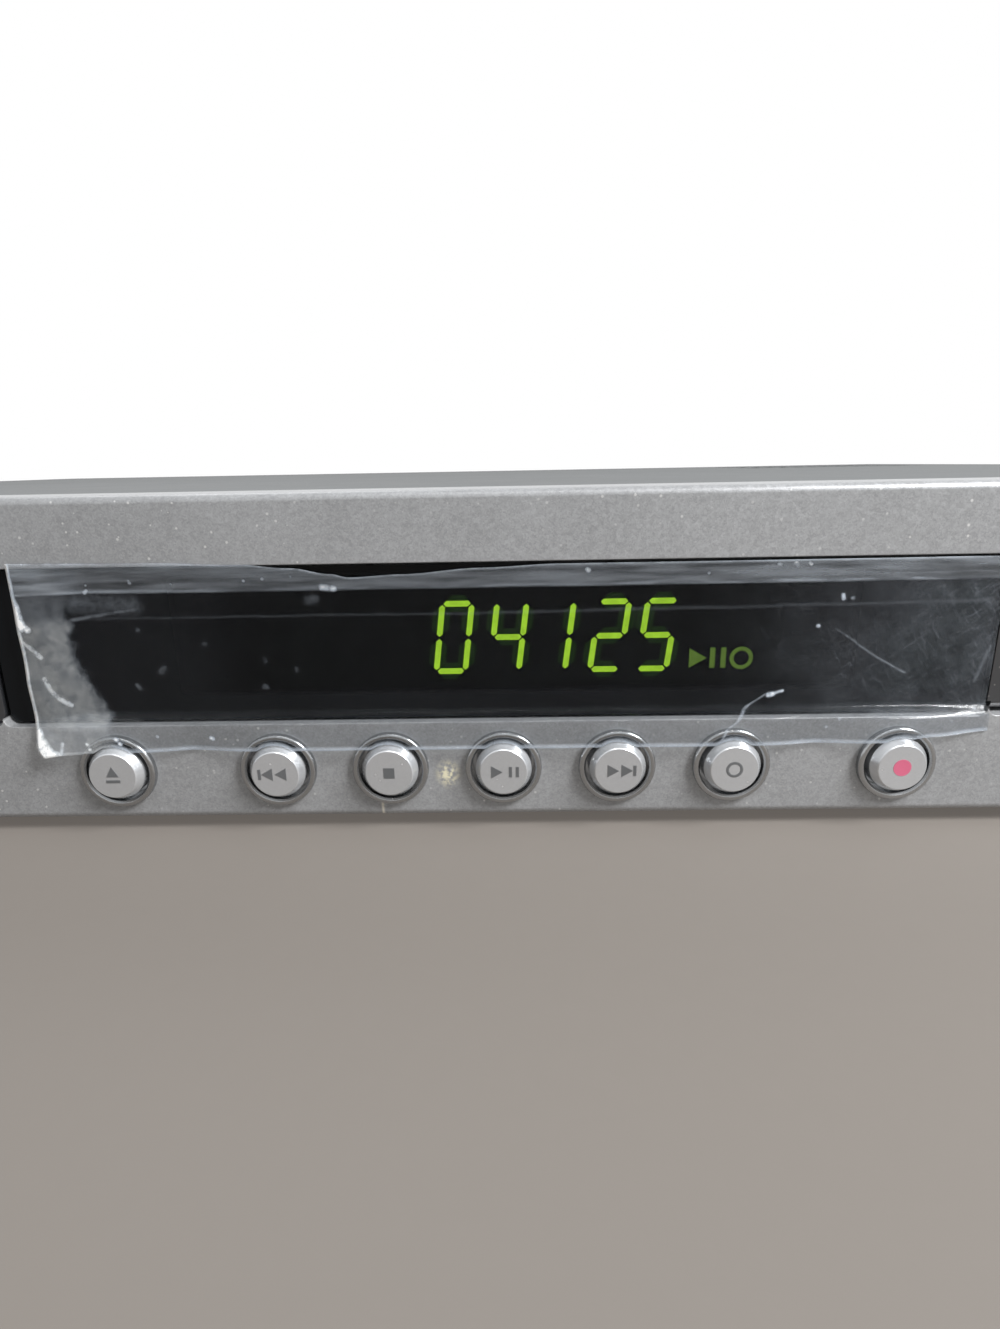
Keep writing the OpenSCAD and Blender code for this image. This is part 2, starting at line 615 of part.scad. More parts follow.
module jack_door() color("black") difference() {
    union() {
        difference() {
            along_y(panel_y, panel_y + door_t) band_outline(win_x1, flap_x1, seam);
            block([win_x1, panel_y - 1, win_z0], [flap_x1, ledge_y, hinge_door_z]);
            for (x = knuckle_xs) block([x - knuckle_w / 2 - rest_gap, panel_y - 1, win_z0],
                [x + knuckle_w / 2 + rest_gap, ledge_y, hinge_door_z + 2.4]);
        }
        difference() {
            bar_x(win_x1 + seam + 0.7, flap_x1 - seam - 0.7, hinge_door_y, hinge_door_z, door_t / 2);
            for (x = knuckle_xs) block([x - knuckle_w / 2 - rest_gap, panel_y - 1, win_z0],
                [x + knuckle_w / 2 + rest_gap, ledge_y, hinge_door_z + 2.4]);
        }
        for (x = knuckle_xs) bar_x(x - knuckle_w, x + knuckle_w, hinge_door_y, hinge_door_z, door_pin_r);
    }
    along_y(panel_y - 1, panel_y + 0.8) translate([(win_x1 + flap_x1) / 2, win_z1 - seam]) circle(5);
}

// Moulded tub behind the jack door
bay_d = 13.5;
bay_wall = 1.5;
bay_y0 = ledge_y + ledge_t;
bay_y1 = bay_y0 + bay_d;
bay_mid = (win_x1 + flap_x1) / 2;
front_jack_xs = [for (i = [-1, 0, 1]) bay_mid + 12 + i * jack_pitch];
bay_jack_z = (win_z0 + win_z1) / 2;

module jack_bay() color("dimgray") difference() {
    block([win_x1 + ledge_w - 1.5, bay_y0, win_z0 + 1.5], [flap_x1 - ledge_w + 1.5, bay_y1, win_z1 - 1.5]);
    block([win_x1 + ledge_w, bay_y0 - 1, win_z0 + 3], [flap_x1 - ledge_w, bay_y1 - bay_wall, win_z1 - 3]);
    for (x = front_jack_xs) bar_y(bay_y1 - 3, bay_y1 + 1, x, bay_jack_z, phono_r + 0.1);
    bar_y(bay_y1 - 3, bay_y1 + 1, bay_mid - 24, bay_jack_z, 6.1);
}

// A phono socket whose shell points away from y
module phono_shell(length) {
    polygon([[3.3, 0], [phono_r, 0], [phono_r, length - 0.4], [phono_r - 0.3, length], [3.3, length]]);
}

module front_jacks() color("goldenrod") {
    for (x = front_jack_xs) {
        turned_front(x, bay_y1, bay_jack_z) phono_shell(10);
        block([x - 5, bay_y1, bay_jack_z - 6], [x + 5, bay_y1 + 9, bay_jack_z + 6]);
        turned_front(x, bay_y1, bay_jack_z) polygon([[1.6, -0.5], [2.4, -0.5], [2.4, 8], [1.6, 8]]);
    }
    difference() {
        bar_y(bay_y1 - 4, bay_y1, bay_mid - 24, bay_jack_z, 6);
        bar_y(bay_y1 - 5, bay_y1 - 1, bay_mid - 24, bay_jack_z, 4.6);
    }
    block([bay_mid - 31, bay_y1, bay_jack_z - 7], [bay_mid - 17, bay_y1 + 9, bay_jack_z + 7]);
    block([bay_mid - 36, bay_y1 + 9, floor_z], [bay_mid + 36, bay_y1 + 9 + board_t, bay_jack_z + 9]);
}

// ---- Disc mechanism ----
module loader_frame() color("dimgray") difference() {
    translate([lx, 0, 0]) {
        for (s = [-1, 1]) {
            block([s > 0 ? loader_in : -loader_out, loader_y0, loader_z0],
                [s > 0 ? loader_out : -loader_in, loader_y1, loader_z1]);
            block([s > 0 ? loader_in - guide_w : -loader_in, loader_y0, tray_z0 - rest_gap - 2.5],
                [s > 0 ? loader_in : guide_w - loader_in, loader_y1, tray_z0 - rest_gap]);
            block([s > 0 ? loader_in - base_flange : -loader_in, loader_y0, loader_z0],
                [s > 0 ? loader_in : base_flange - loader_in, loader_y1, loader_z0 + lug_t]);
            for (y = [loader_y0, loader_y0 + 40, loader_y1 - 60, loader_y1 - 20])
                block([s > 0 ? loader_in - guide_w : -loader_in, y, tray_z1 + rest_gap],
                    [s > 0 ? loader_in : guide_w - loader_in, y + 8, tray_z1 + rest_gap + 2]);
            for (y = lug_ys) {
                bar_z(loader_z0, loader_z0 + lug_t, s * lug_x, y, lug_r);
                block([s > 0 ? loader_out - 1 : -lug_x, y - lug_r, loader_z0],
                    [s > 0 ? lug_x : 1 - loader_out, y + lug_r, loader_z0 + lug_t]);
            }
            difference() {
                block([s > 0 ? traverse_half + 0.5 : -traverse_half - 5, hinge_y - 5, loader_z0],
                    [s > 0 ? traverse_half + 5 : -traverse_half - 0.5, hinge_y + 5, traverse_z1 + 4]);
                bar_x(s * (traverse_half + 3) - 5, s * (traverse_half + 3) + 5, hinge_y, traverse_z1,
                    pin_r + shaft_fit);
            }
        }
        block([-loader_in, loader_y1 - 10, loader_z0], [loader_in, loader_y1, loader_z0 + 4]);
        block([-loader_in, loader_y0, deck_z], [loader_in, wall_y + wall_t, deck_top]);
        block([-loader_in + 1, wall_y, loader_z0], [loader_in - 1, wall_y + wall_t, deck_top + 4]);
        block([-loader_in + 1, wall_y, loader_z0], [loader_in - 1, cam_y + cam_t, loader_z0 + 1.2]);
        bar_z(deck_z, gear_z + gear_t + 0.4, tray_gear_x, gear_y, axle_r);
        bar_z(deck_z, gear_z + gear_t + 0.4, pulley_x, gear_y, axle_r);
    }
    for (s = [-1, 1], y = lug_ys) bar_z(loader_z0 - 1, loader_z0 + lug_t + 1, lx + s * lug_x, y, 1.7);
    bar_z(deck_z - 1, deck_top + 1, lx + motor_x, gear_y, 2.5);
    for (y = [loader_y0 + 50, loader_y0 + 84, loader_y0 + 118])
        along_x(lx - loader_out - 1, lx + loader_out + 1) rounded([y, loader_z0 + 5], [y + 24, loader_z0 + 15], 3);
}

module loader_screws() color("silver") {
    for (s = [-1, 1], y = lug_ys) translate([lx + s * lug_x, y, loader_z0 + lug_t]) screw(3.2, 2, 1.5, 4.6);
    for (s = [-1, 1], y = bridge_screw_ys)
        translate([lx + s * (loader_in + 1.5), y, loader_z1 + bridge_t]) screw(2.6, 1.4, 1, 1.4);
}

bridge_t = 2;
bridge_half = 22;
bridge_screw_ys = [sy - bridge_half + 5, sy + bridge_half - 5];
puck_neck_r = 12.5;
puck_flange_r = 16.5;

module clamp_bridge() color("lightgray") difference() {
    translate([lx, 0, 0]) {
        block([-loader_out, sy - bridge_half, loader_z1], [loader_out, sy + bridge_half, loader_z1 + bridge_t]);
        for (s = [-1, 1]) block([-loader_out + 8, sy + s * (bridge_half - 1) - 1, loader_z1],
            [loader_out - 8, sy + s * (bridge_half - 1) + 1, loader_z1 + 5]);
    }
    bar_z(loader_z1 - 1, loader_z1 + 6, lx, sy, puck_neck_r + 0.5);
    for (s = [-1, 1], y = bridge_screw_ys)
        bar_z(loader_z1 - 1, loader_z1 + 6, lx + s * (loader_in + 1.5), y, 1.1);
    for (s = [-1, 1]) along_z(loader_z1 - 1, loader_z1 + bridge_t + 1)
        rounded([lx + s * 41 - 14, sy - 12], [lx + s * 41 + 14, sy + 12], 4);
}

module clamp_puck() color("dimgray") translate([lx, sy, 0]) rotate_extrude()
    polygon([[0, loader_z1 + bridge_t + 3], [4, loader_z1 + bridge_t + 3], [6, loader_z1 + bridge_t + 2],
        [puck_flange_r, loader_z1 + bridge_t + 2], [puck_flange_r, loader_z1 + bridge_t + rest_gap],
        [puck_neck_r, loader_z1 + bridge_t + rest_gap], [puck_neck_r, turn_z + 3.3], [puck_neck_r - 0.8, turn_z + 2.5],
        [8.6, turn_z + 2.5], [8, turn_z + 3.4], [0, turn_z + 3.4]]);

rack_p = PI * tray_m;
rack_first = ceil((tray_y0 + 8 - gear_y) / rack_p);
rack_last = floor((tray_y1 - 3 - gear_y) / rack_p) - 1;

module disc_tray() color("dimgray") {
    difference() {
        union() {
            along_z(tray_z0, tray_z1)
                rounded([lx - tray_w / 2, tray_y0 + 3], [lx + tray_w / 2, tray_y1], 1.5);
            block([lx - tray_w / 2 + 6, tray_y0, tray_z0 - 3], [lx + tray_w / 2 - 6, tray_y0 + 4, tray_z1]);
        }
        block([lx - tray_w / 2 + 3, tray_y0 + 4, tray_z0 - 4], [lx + tray_w / 2 - 3, tray_y1 + 1, plate_z]);
        bar_z(seat_z, tray_z1 + 1, lx, sy, disc_r);
        bar_z(small_seat_z, tray_z1 + 1, lx, sy, small_disc_r);
        bar_z(tray_z0, tray_z1 + 1, lx, sy, slot_half);
        block([lx - slot_half, sy, tray_z0 - 1], [lx + slot_half, tray_y1 + 1, tray_z1 + 1]);
        for (s = [-1, 1]) along_z(seat_z - 0.01, tray_z1 + 1)
            translate([lx + s * (disc_r - 8), sy - 34]) circle(9);
    }
    translate([lx + rack_x, gear_y, 0]) along_z(rack_z, plate_z)
        polygon(rack_outline(tray_m, rack_first, rack_last, 5));
}

module tray_door() color("black") along_y(panel_y, tray_y0) band_outline(tray_x0, win_x0, seam);

module tray_gear() color("ivory") translate([lx + tray_gear_x, gear_y, 0]) difference() {
    union() {
        along_z(gear_z, gear_z + gear_t) polygon(gear_outline(tray_m, tray_teeth));
        bar_z(deck_top + rest_gap, gear_z, 0, 0, 3.4);
    }
    bar_z(deck_top, gear_z + gear_t + 1, 0, 0, axle_r + shaft_fit);
    for (i = [0:5]) rotate([0, 0, i * 60]) bar_z(gear_z - 1, gear_z + gear_t + 1, 7, 0, 2);
}

// A grooved pulley between two heights
module pulley(core_r, z0) {
    bar_z(z0, z0 + 0.6, 0, 0, core_r + 1.5);
    bar_z(z0 + 0.6, z0 + 2.6, 0, 0, core_r);
    bar_z(z0 + 2.6, z0 + 3.2, 0, 0, core_r + 1.5);
}

pulley_z = deck_top + 0.5;
module pulley_gear() color("ivory") translate([lx + pulley_x, gear_y, 0]) difference() {
    union() {
        pulley(pulley_r, pulley_z);
        along_z(pulley_z + 3.2, gear_z + gear_t)
            rotate([0, 0, 180 / pinion_teeth]) polygon(gear_outline(tray_m, pinion_teeth));
    }
    bar_z(deck_top, gear_z + gear_t + 1, 0, 0, axle_r + shaft_fit);
}

module loading_belt() color("black") translate([lx + pulley_x, gear_y, 0])
    along_z(pulley_z + 1, pulley_z + 1 + belt_t) difference() {
        polygon(belt_points(pulley_r + rest_gap + belt_t, motor_pulley_r + rest_gap + belt_t, belt_span));
        polygon(belt_points(pulley_r + rest_gap, motor_pulley_r + rest_gap, belt_span));
    }

module motor_pulley() color("white") translate([lx + motor_x, gear_y, 0]) {
    pulley(motor_pulley_r, pulley_z);
    bar_z(deck_z - 8, pulley_z + 3.2, 0, 0, 1);
}

module loading_motor() color("silver") translate([lx + motor_x, gear_y, 0]) difference() {
    union() {
        bar_z(deck_z - 12, deck_z, 0, 0, 12);
        bar_z(deck_z - 13.5, deck_z - 12, 0, 0, 3);
    }
    bar_z(deck_z - 9, deck_z + 1, 0, 0, 1 + shaft_fit);
}

module cam_slider() color("white") translate([lx, 0, 0]) difference() {
    block([cam_x0, cam_y, loader_z0 + 1.5], [cam_x1, cam_y + cam_t, traverse_z1 + 2.5]);
    for (x = cam_pin_xs) along_y(cam_y - 1, cam_y + cam_t + 1) {
        translate([x, traverse_z1]) circle(pin_r + rest_gap);
        translate([x - cam_travel, traverse_z1 - cam_drop]) circle(pin_r + rest_gap);
        translate([x, traverse_z1]) rotate(180 + atan2(cam_drop, cam_travel))
            translate([0, -pin_r - rest_gap]) square([norm([cam_travel, cam_drop]), 2 * (pin_r + rest_gap)]);
    }
}

module traverse_frame() color("dimgray") translate([lx, 0, 0]) difference() {
    union() {
        along_z(traverse_z0, traverse_z1)
            rounded([-traverse_half, traverse_y0], [traverse_half, traverse_y1], 2);
        along_z(traverse_z1, traverse_z1 + rim_h) difference() {
            rounded([-traverse_half, traverse_y0], [traverse_half, traverse_y1], 2);
            translate([-traverse_half + rim_t, traverse_y0 + rim_t])
                square([2 * (traverse_half - rim_t), traverse_y1 - traverse_y0 - 2 * rim_t]);
        }
        for (x = cam_pin_xs) bar_y(traverse_y0 - pin_len, traverse_y0 + 1, x, traverse_z1, pin_r);
        for (s = [-1, 1]) bar_x(s * (traverse_half + 1.5) - 2.5, s * (traverse_half + 1.5) + 2.5, hinge_y,
            traverse_z1, pin_r);
        for (s = [-1, 1], y = [rod_y0, rod_y1 - 5])
            block([s * rod_x - 3.5, y, traverse_z1], [s * rod_x + 3.5, y + 5, rod_z + 2.3]);
        bar_z(traverse_z1, rod_z + 2.3, sled_x, sled_y, rod_r);
    }
    for (s = [-1, 1]) bar_y(rod_y0 + 1.5, rod_y1 - 1.5, s * rod_x, rod_z, rod_r + 0.05);
    block([-17, lens_y - 9, traverse_z0 - 1], [17, lens_y + pickup_travel + 14, traverse_z1 + 1]);
    bar_z(traverse_z0 - 1, traverse_z1 + 1, sled_x, sled_motor_y, 1.6);
    bar_z(traverse_z0 - 1, traverse_z1 + 1, 0, sy, 3.2);
    for (x = [-30, 30]) along_z(traverse_z0 - 1, traverse_z1 + 1)
        rounded([x - 10, lens_y + pickup_travel + 24], [x + 10, hinge_y - 6], 3);
}

module guide_rods() color("silver") {
    for (s = [-1, 1]) bar_y(rod_y0 + 1.6, rod_y1 - 1.6, lx + s * rod_x, rod_z, rod_r);
}

spindle_r = 11;
module spindle_motor() color("silver") translate([lx, sy, 0]) difference() {
    union() {
        bar_z(traverse_z1, turn_z - 4.6, 0, 0, spindle_r);
        bar_z(turn_z - 4.6, turn_z - 3.4, 0, 0, 4);
        bar_z(traverse_z0 - 2, traverse_z1, 0, 0, 3);
    }
    bar_z(turn_z - 10, turn_z - 3, 0, 0, 1 + shaft_fit);
}

module turntable() color("dimgray") translate([lx, sy, 0]) {
    rotate_extrude() polygon([[0, turn_z - 2.2], [14, turn_z - 2.2], [14, turn_z], [13, turn_z], [13, turn_z - 0.3],
        [9, turn_z - 0.3], [9, turn_z], [7.3, turn_z], [7.3, turn_z + 1], [6.2, turn_z + 2.1], [0, turn_z + 2.1]]);
    bar_z(turn_z - 9.6, turn_z - 2.2, 0, 0, 1);
}

carriage_z0 = traverse_z1 + 2.3;
carriage_z1 = plate_z - 0.8;
sled_p = PI * sled_m;

module pickup_carriage() color("gray") translate([lx, lens_y, 0]) {
    difference() {
        union() {
            along_z(carriage_z0, carriage_z1) rounded([-24, -8], [24, 16], 1.5);
            along_z(carriage_z0, plate_z + 0.7) rounded([-14, -7.5], [14, 9], 1.5);
            block([-12, -6, traverse_z0 - 1], [12, 12, carriage_z0 + 1]);
        }
        bar_y(-9, 17, -rod_x, rod_z, rod_r + shaft_fit);
        block([rod_x - 2.5, -9, carriage_z0 - 1], [25, 17, rod_z + rod_r + rest_gap]);
        bar_z(plate_z - 2, plate_z + 2, 0, 0, 4.8);
    }
    translate([sled_rack_x, sled_y - lens_y, 0]) mirror([1, 0, 0]) along_z(rod_z - 1.7, rod_z + 1.3)
        polygon(rack_outline(sled_m, -ceil((pickup_travel + 3) / sled_p), 1, 3.2));
}

module pickup_lens() color("lightblue") translate([lx, lens_y, 0]) {
    translate([0, 0, plate_z]) rotate_extrude()
        polygon([[0, -2], [4.5, -2], [4.5, 0.9], [3, 0.9], [2.7, 1.4], [1.6, 1.8], [0, 1.9]]);
}

module sled_gear() color("ivory") translate([lx + sled_x, sled_y, 0]) difference() {
    union() {
        along_z(traverse_z1 + rest_gap, traverse_z1 + 1.9) polygon(gear_outline(sled_m, sled_wheel_teeth));
        along_z(traverse_z1 + 1.9, rod_z + 1.7) polygon(gear_outline(sled_m, sled_teeth));
    }
    bar_z(traverse_z1, rod_z + 3, 0, 0, rod_r + shaft_fit);
}

module sled_pinion() color("white") translate([lx + sled_x, sled_motor_y, 0]) {
    along_z(traverse_z1 + rest_gap, traverse_z1 + 1.9) polygon(gear_outline(sled_m, sled_motor_teeth));
    bar_z(traverse_z0 - 6, traverse_z1 + rest_gap, 0, 0, 1);
}

module sled_motor() color("silver") translate([lx + sled_x, sled_motor_y, 0]) difference() {
    union() {
        bar_z(traverse_z0 - 10, traverse_z0, 0, 0, 8);
        bar_z(traverse_z0 - 11, traverse_z0 - 10, 0, 0, 2.5);
    }
    bar_z(traverse_z0 - 7, traverse_z0 + 1, 0, 0, 1 + shaft_fit);
}

// ---- Boards, rear sockets and cooling ----
module main_board() color("darkgreen") difference() {
    block([main_x0, main_y0, board_z], [main_x1, main_y1, board_top]);
    for (i = [0:3]) bar_z(board_z - 1, board_top + 1, board_posts[i].x, board_posts[i].y, 1.6);
}

// Chips by their middle from the board's left end (or from its right end) and front edge, width, depth and height
chips_left = [[40, 60, 28, 28, 2.4], [84, 70, 20, 11, 1.2], [84, 88, 20, 11, 1.2], [40, 104, 14, 14, 1.6],
    [84, 120, 22, 22, 2], [20, 130, 10, 16, 2]];
chips_right = [[48, 101.5, 14, 14, 1.6], [42, 50, 10, 20, 2]];
module chip(x, c) block([x - c[2] / 2, main_y0 + c[1] - c[3] / 2, board_top],
    [x + c[2] / 2, main_y0 + c[1] + c[3] / 2, board_top + c[4]]);

module board_chips() color("black") {
    for (c = chips_left) chip(main_x0 + c[0], c);
    for (c = chips_right) chip(main_x1 - c[0], c);
    for (i = [0:2], j = [0:1])
        bar_z(board_top, board_top + 8, main_x1 - 36 - 8 * i, main_y0 + 140 + 10 * j, 3);
}

module power_board() color("peru") difference() {
    block([power_x0, power_y0, board_z], [power_x1, power_y1, board_top]);
    for (i = [4:7]) bar_z(board_z - 1, board_top + 1, board_posts[i].x, board_posts[i].y, 1.6);
}

power_mid = (power_x0 + power_x1) / 2;
// Ferrite core with a round winding between the bobbin's two flanges
core_w = 32;
core_d = 28;
core_h = 24;
core_y = power_y0 + 104;
module transformer() color("gold") {
    for (s = [-1, 1]) block([power_mid + s * (core_w / 2 - 2.5) - 2.5, core_y - 8, board_top],
        [power_mid + s * (core_w / 2 - 2.5) + 2.5, core_y + 8, board_top + core_h]);
    for (z = [board_top, board_top + core_h - 5])
        block([power_mid - core_w / 2, core_y - 8, z], [power_mid + core_w / 2, core_y + 8, z + 5]);
    for (z = [board_top + 4.5, board_top + core_h - 6])
        along_z(z, z + 1.5) rounded([power_mid - 10.5, core_y - core_d / 2], [power_mid + 10.5, core_y + core_d / 2], 3);
    along_z(board_top + 5, board_top + core_h - 5) rounded([power_mid - 9.5, core_y - core_d / 2 + 2],
        [power_mid + 9.5, core_y + core_d / 2 - 2], 6);
}

module filter_capacitors() color("navy") {
    for (c = [[18, 150, 9, 30], [40, 150, 5, 20], [22, 74, 5, 20], [36, 74, 5, 20], [22, 58, 4, 14], [36, 58, 4, 14],
            [22, 42, 4, 14]])
        translate([power_x0 + c[0], power_y0 + c[1], board_top]) rotate_extrude()
            polygon([[0, 0], [c[2], 0], [c[2], c[3] - 0.8], [c[2] - 0.8, c[3]], [0, c[3]]]);
}

module heat_sink() color("silver") {
    block([power_mid + 8, power_y0 + 30, board_top], [power_mid + 11, power_y0 + 80, board_top + 30]);
    for (i = [0:7]) block([power_mid + 11, power_y0 + 32 + i * 6.4, board_top + 2],
        [power_mid + 20, power_y0 + 33.4 + i * 6.4, board_top + 30]);
}

// Flat ribbons: front board to main board, loader to main board, main board to power board
ribbon_t = 0.4;
ribbon_z = board_top + 5;
module ribbon_cables() color("white") {
    along_x(win_mid - 12, win_mid + 12) {
        translate([board_y + board_t, ribbon_z]) square([main_y0 + 8 - board_y - board_t, ribbon_t]);
        translate([main_y0 + 8 - ribbon_t, board_top]) square([ribbon_t, ribbon_z - board_top]);
    }
    along_y(loader_y1 - 30, loader_y1 - 8) {
        translate([lx + loader_out, ribbon_z]) square([main_x0 + 8 - lx - loader_out, ribbon_t]);
        translate([main_x0 + 8 - ribbon_t, board_top]) square([ribbon_t, ribbon_z - board_top]);
    }
    along_y(main_y0 + 20, main_y0 + 44) {
        translate([main_x1 - 10, ribbon_z]) square([power_x0 + 10 - main_x1 + 10, ribbon_t]);
        translate([main_x1 - 10, board_top]) square([ribbon_t, ribbon_z - board_top]);
        translate([power_x0 + 10 - ribbon_t, board_top]) square([ribbon_t, ribbon_z - board_top]);
    }
}

module tuner_can() color("silver") difference() {
    block([aerial_x - 15, y_back - sheet_t - 46, board_top], [aerial_x + 15, y_back - sheet_t, high_row + 9]);
    for (i = [0:4], j = [0:1]) bar_z(high_row + 8, high_row + 10, aerial_x - 8 + 16 * j, y_back - 40 + 8 * i, 1.5);
}

module aerial_jacks() color("gold") {
    for (z = [low_row, high_row]) {
        turned_rear(aerial_x, y_back - sheet_t, z)
            polygon([[0.9, 0], [aerial_r + 1.5, 0], [aerial_r + 1.5, sheet_t + 1], [aerial_r, sheet_t + 1],
                [aerial_r, sheet_t + jack_len - 0.5], [aerial_r - 0.4, sheet_t + jack_len], [0.9, sheet_t + jack_len]]);
    }
}

module phono_jacks() color("goldenrod") {
    block([phono_xs[0] - 7, y_back - sheet_t - 17, board_top], [phono_xs[4] + 7, y_back - sheet_t, high_row + 8]);
    for (x = phono_xs, z = [low_row, high_row]) {
        turned_rear(x, y_back - sheet_t, z)
            polygon([[3.3, 0], [5.5, 0], [5.5, sheet_t + 0.6], [phono_r, sheet_t + 0.6], [phono_r, sheet_t + 8.1],
                [phono_r - 0.4, sheet_t + 8.5], [3.3, sheet_t + 8.5]]);
        turned_rear(x, y_back - sheet_t, z) polygon([[1.6, 0], [2.4, 0], [2.4, 8], [1.6, 8]]);
    }
}

module video_jacks() color("black") difference() {
    union() {
        for (z = [low_row, high_row]) {
            bar_y(y_back - sheet_t - 1, y_back + 1, video_x, z, 6);
        }
        block([video_x - 8, y_back - sheet_t - 14, board_top], [video_x + 8, y_back - sheet_t, high_row + 8]);
        block([optical_x - 5, y_back - 14, low_row - 5], [optical_x + 5, y_back + 1.5, low_row + 5]);
        block([optical_x - 6, y_back - 14, board_top], [optical_x + 6, y_back - sheet_t, low_row + 6]);
    }
    for (z = [low_row, high_row]) bar_y(y_back - 6, y_back + 2, video_x, z, 4.6);
    block([optical_x - 3, y_back - 8, low_row - 3], [optical_x + 3, y_back + 2, low_row + 3]);
}

module mains_inlet() color("black") {
    difference() {
        along_y(y_back - 18, y_back + 1) rounded([inlet_x - 11, inlet_z - 7], [inlet_x + 11, inlet_z + 7], 3);
        along_y(y_back - 13, y_back + 2) {
            for (s = [-1, 1]) translate([inlet_x + s * 4.1, inlet_z]) circle(4);
            translate([inlet_x - 4.1, inlet_z - 3]) square([8.2, 6]);
        }
    }
    for (s = [-1, 1]) bar_y(y_back - 14, y_back - 3, inlet_x + s * 4.1, inlet_z, 1.2);
    block([inlet_x - 9, y_back - 18, board_top], [inlet_x + 9, y_back - 6, inlet_z - 6.9]);
}

fan_y1 = y_back - sheet_t;
fan_y0 = fan_y1 - fan_d;
hub_r = 8;
module fan_frame() color("black") difference() {
    union() {
        along_y(fan_y0, fan_y1) difference() {
            rounded([fan_x - fan_w / 2, fan_z - fan_w / 2], [fan_x + fan_w / 2, fan_z + fan_w / 2], 2.5);
            translate([fan_x, fan_z]) circle(fan_bore);
        }
        bar_y(fan_y1 - 1.6, fan_y1, fan_x, fan_z, hub_r);
        for (a = [30, 150, 270]) along_y(fan_y1 - 1.6, fan_y1) translate([fan_x, fan_z]) rotate(a)
            translate([hub_r - 1, -1]) square([fan_bore - hub_r + 2, 2]);
        bar_y(fan_y1 - 5, fan_y1, fan_x, fan_z, 2.4);
    }
    for (p = fan_holes) bar_y(fan_y0 - 1, fan_y1 + 1, p.x, p.y, 1.6);
    bar_y(fan_y1 - 6, fan_y1 + 1, fan_x, fan_z, 1 + shaft_fit);
}

module fan_rotor() color("dimgray") translate([fan_x, fan_y0, fan_z]) rotate([-90, 0, 0]) {
    rotor_d = fan_d - 2.4;
    difference() {
        union() {
            translate([0, 0, 0.4]) cylinder(h = rotor_d - 0.4, r = hub_r);
            intersection() {
                difference() {
                    translate([0, 0, 0.8]) cylinder(h = rotor_d - 1.2, r = fan_bore - 0.6);
                    translate([0, 0, -1]) cylinder(h = rotor_d + 2, r = hub_r - 0.5);
                }
                for (i = [0:6]) rotate([0, 0, i * 360 / 7]) translate([0, 0, rotor_d / 2]) rotate([38, 0, 0])
                    translate([hub_r - 1, -7, -0.5]) cube([fan_bore, 14, 1]);
            }
        }
        translate([0, 0, 1.6]) cylinder(h = rotor_d, r = hub_r - 1);
    }
    translate([0, 0, 0.6]) cylinder(h = fan_d - 1.2, r = 1);
}

module board_screws() color("silver") {
    for (p = board_posts) translate([p.x, p.y, board_top]) screw(2.6, 1.6, 1.15, post_h);
}

base_chassis();
rear_panel();
top_cover();
front_bezel();
rubber_feet();
cover_screws();
display_window();
protective_film();
display_tube();
display_digits();
button_rims();
eject_button();
previous_button();
stop_button();
play_pause_button();
next_button();
repeat_button();
record_button();
power_button();
front_boards();
push_switches();
jack_door();
jack_bay();
front_jacks();
loader_frame();
loader_screws();
clamp_bridge();
clamp_puck();
disc_tray();
tray_door();
tray_gear();
pulley_gear();
loading_belt();
motor_pulley();
loading_motor();
cam_slider();
traverse_frame();
guide_rods();
spindle_motor();
turntable();
pickup_carriage();
pickup_lens();
sled_gear();
sled_pinion();
sled_motor();
main_board();
board_chips();
power_board();
transformer();
filter_capacitors();
heat_sink();
ribbon_cables();
tuner_can();
aerial_jacks();
phono_jacks();
video_jacks();
mains_inlet();
fan_frame();
fan_rotor();
board_screws();
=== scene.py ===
import math
import bpy
from mathutils import Euler, Matrix, Vector, noise


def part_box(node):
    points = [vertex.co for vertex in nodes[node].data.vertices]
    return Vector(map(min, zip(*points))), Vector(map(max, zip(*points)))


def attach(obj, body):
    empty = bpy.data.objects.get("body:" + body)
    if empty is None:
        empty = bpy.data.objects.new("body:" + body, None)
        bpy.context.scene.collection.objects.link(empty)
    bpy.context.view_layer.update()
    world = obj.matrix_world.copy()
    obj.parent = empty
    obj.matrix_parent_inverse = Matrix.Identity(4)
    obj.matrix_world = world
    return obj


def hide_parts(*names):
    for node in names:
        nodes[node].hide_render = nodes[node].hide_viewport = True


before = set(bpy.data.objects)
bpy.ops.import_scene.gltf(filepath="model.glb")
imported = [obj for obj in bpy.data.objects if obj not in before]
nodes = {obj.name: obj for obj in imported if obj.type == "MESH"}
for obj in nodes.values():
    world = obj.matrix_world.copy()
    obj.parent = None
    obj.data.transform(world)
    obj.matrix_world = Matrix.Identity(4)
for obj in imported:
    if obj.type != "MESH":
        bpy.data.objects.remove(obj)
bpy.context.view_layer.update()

mm = 0.001
bevelSamples = 4


def selectOnly(pieces):
    bpy.ops.object.select_all(action="DESELECT")
    for piece in pieces:
        piece.select_set(True)
    bpy.context.view_layer.objects.active = pieces[0]


# Camera, close in front of the player and a little above it
cameraValues = {"place": (0.02288, -0.25685, 0.06063), "pitch": 15.581, "yaw": 1.061, "roll": 1.06,
                "focalPixels": 720.0, "imageHeight": 1329, "sensor": 36.0, "nearClip": 0.005}


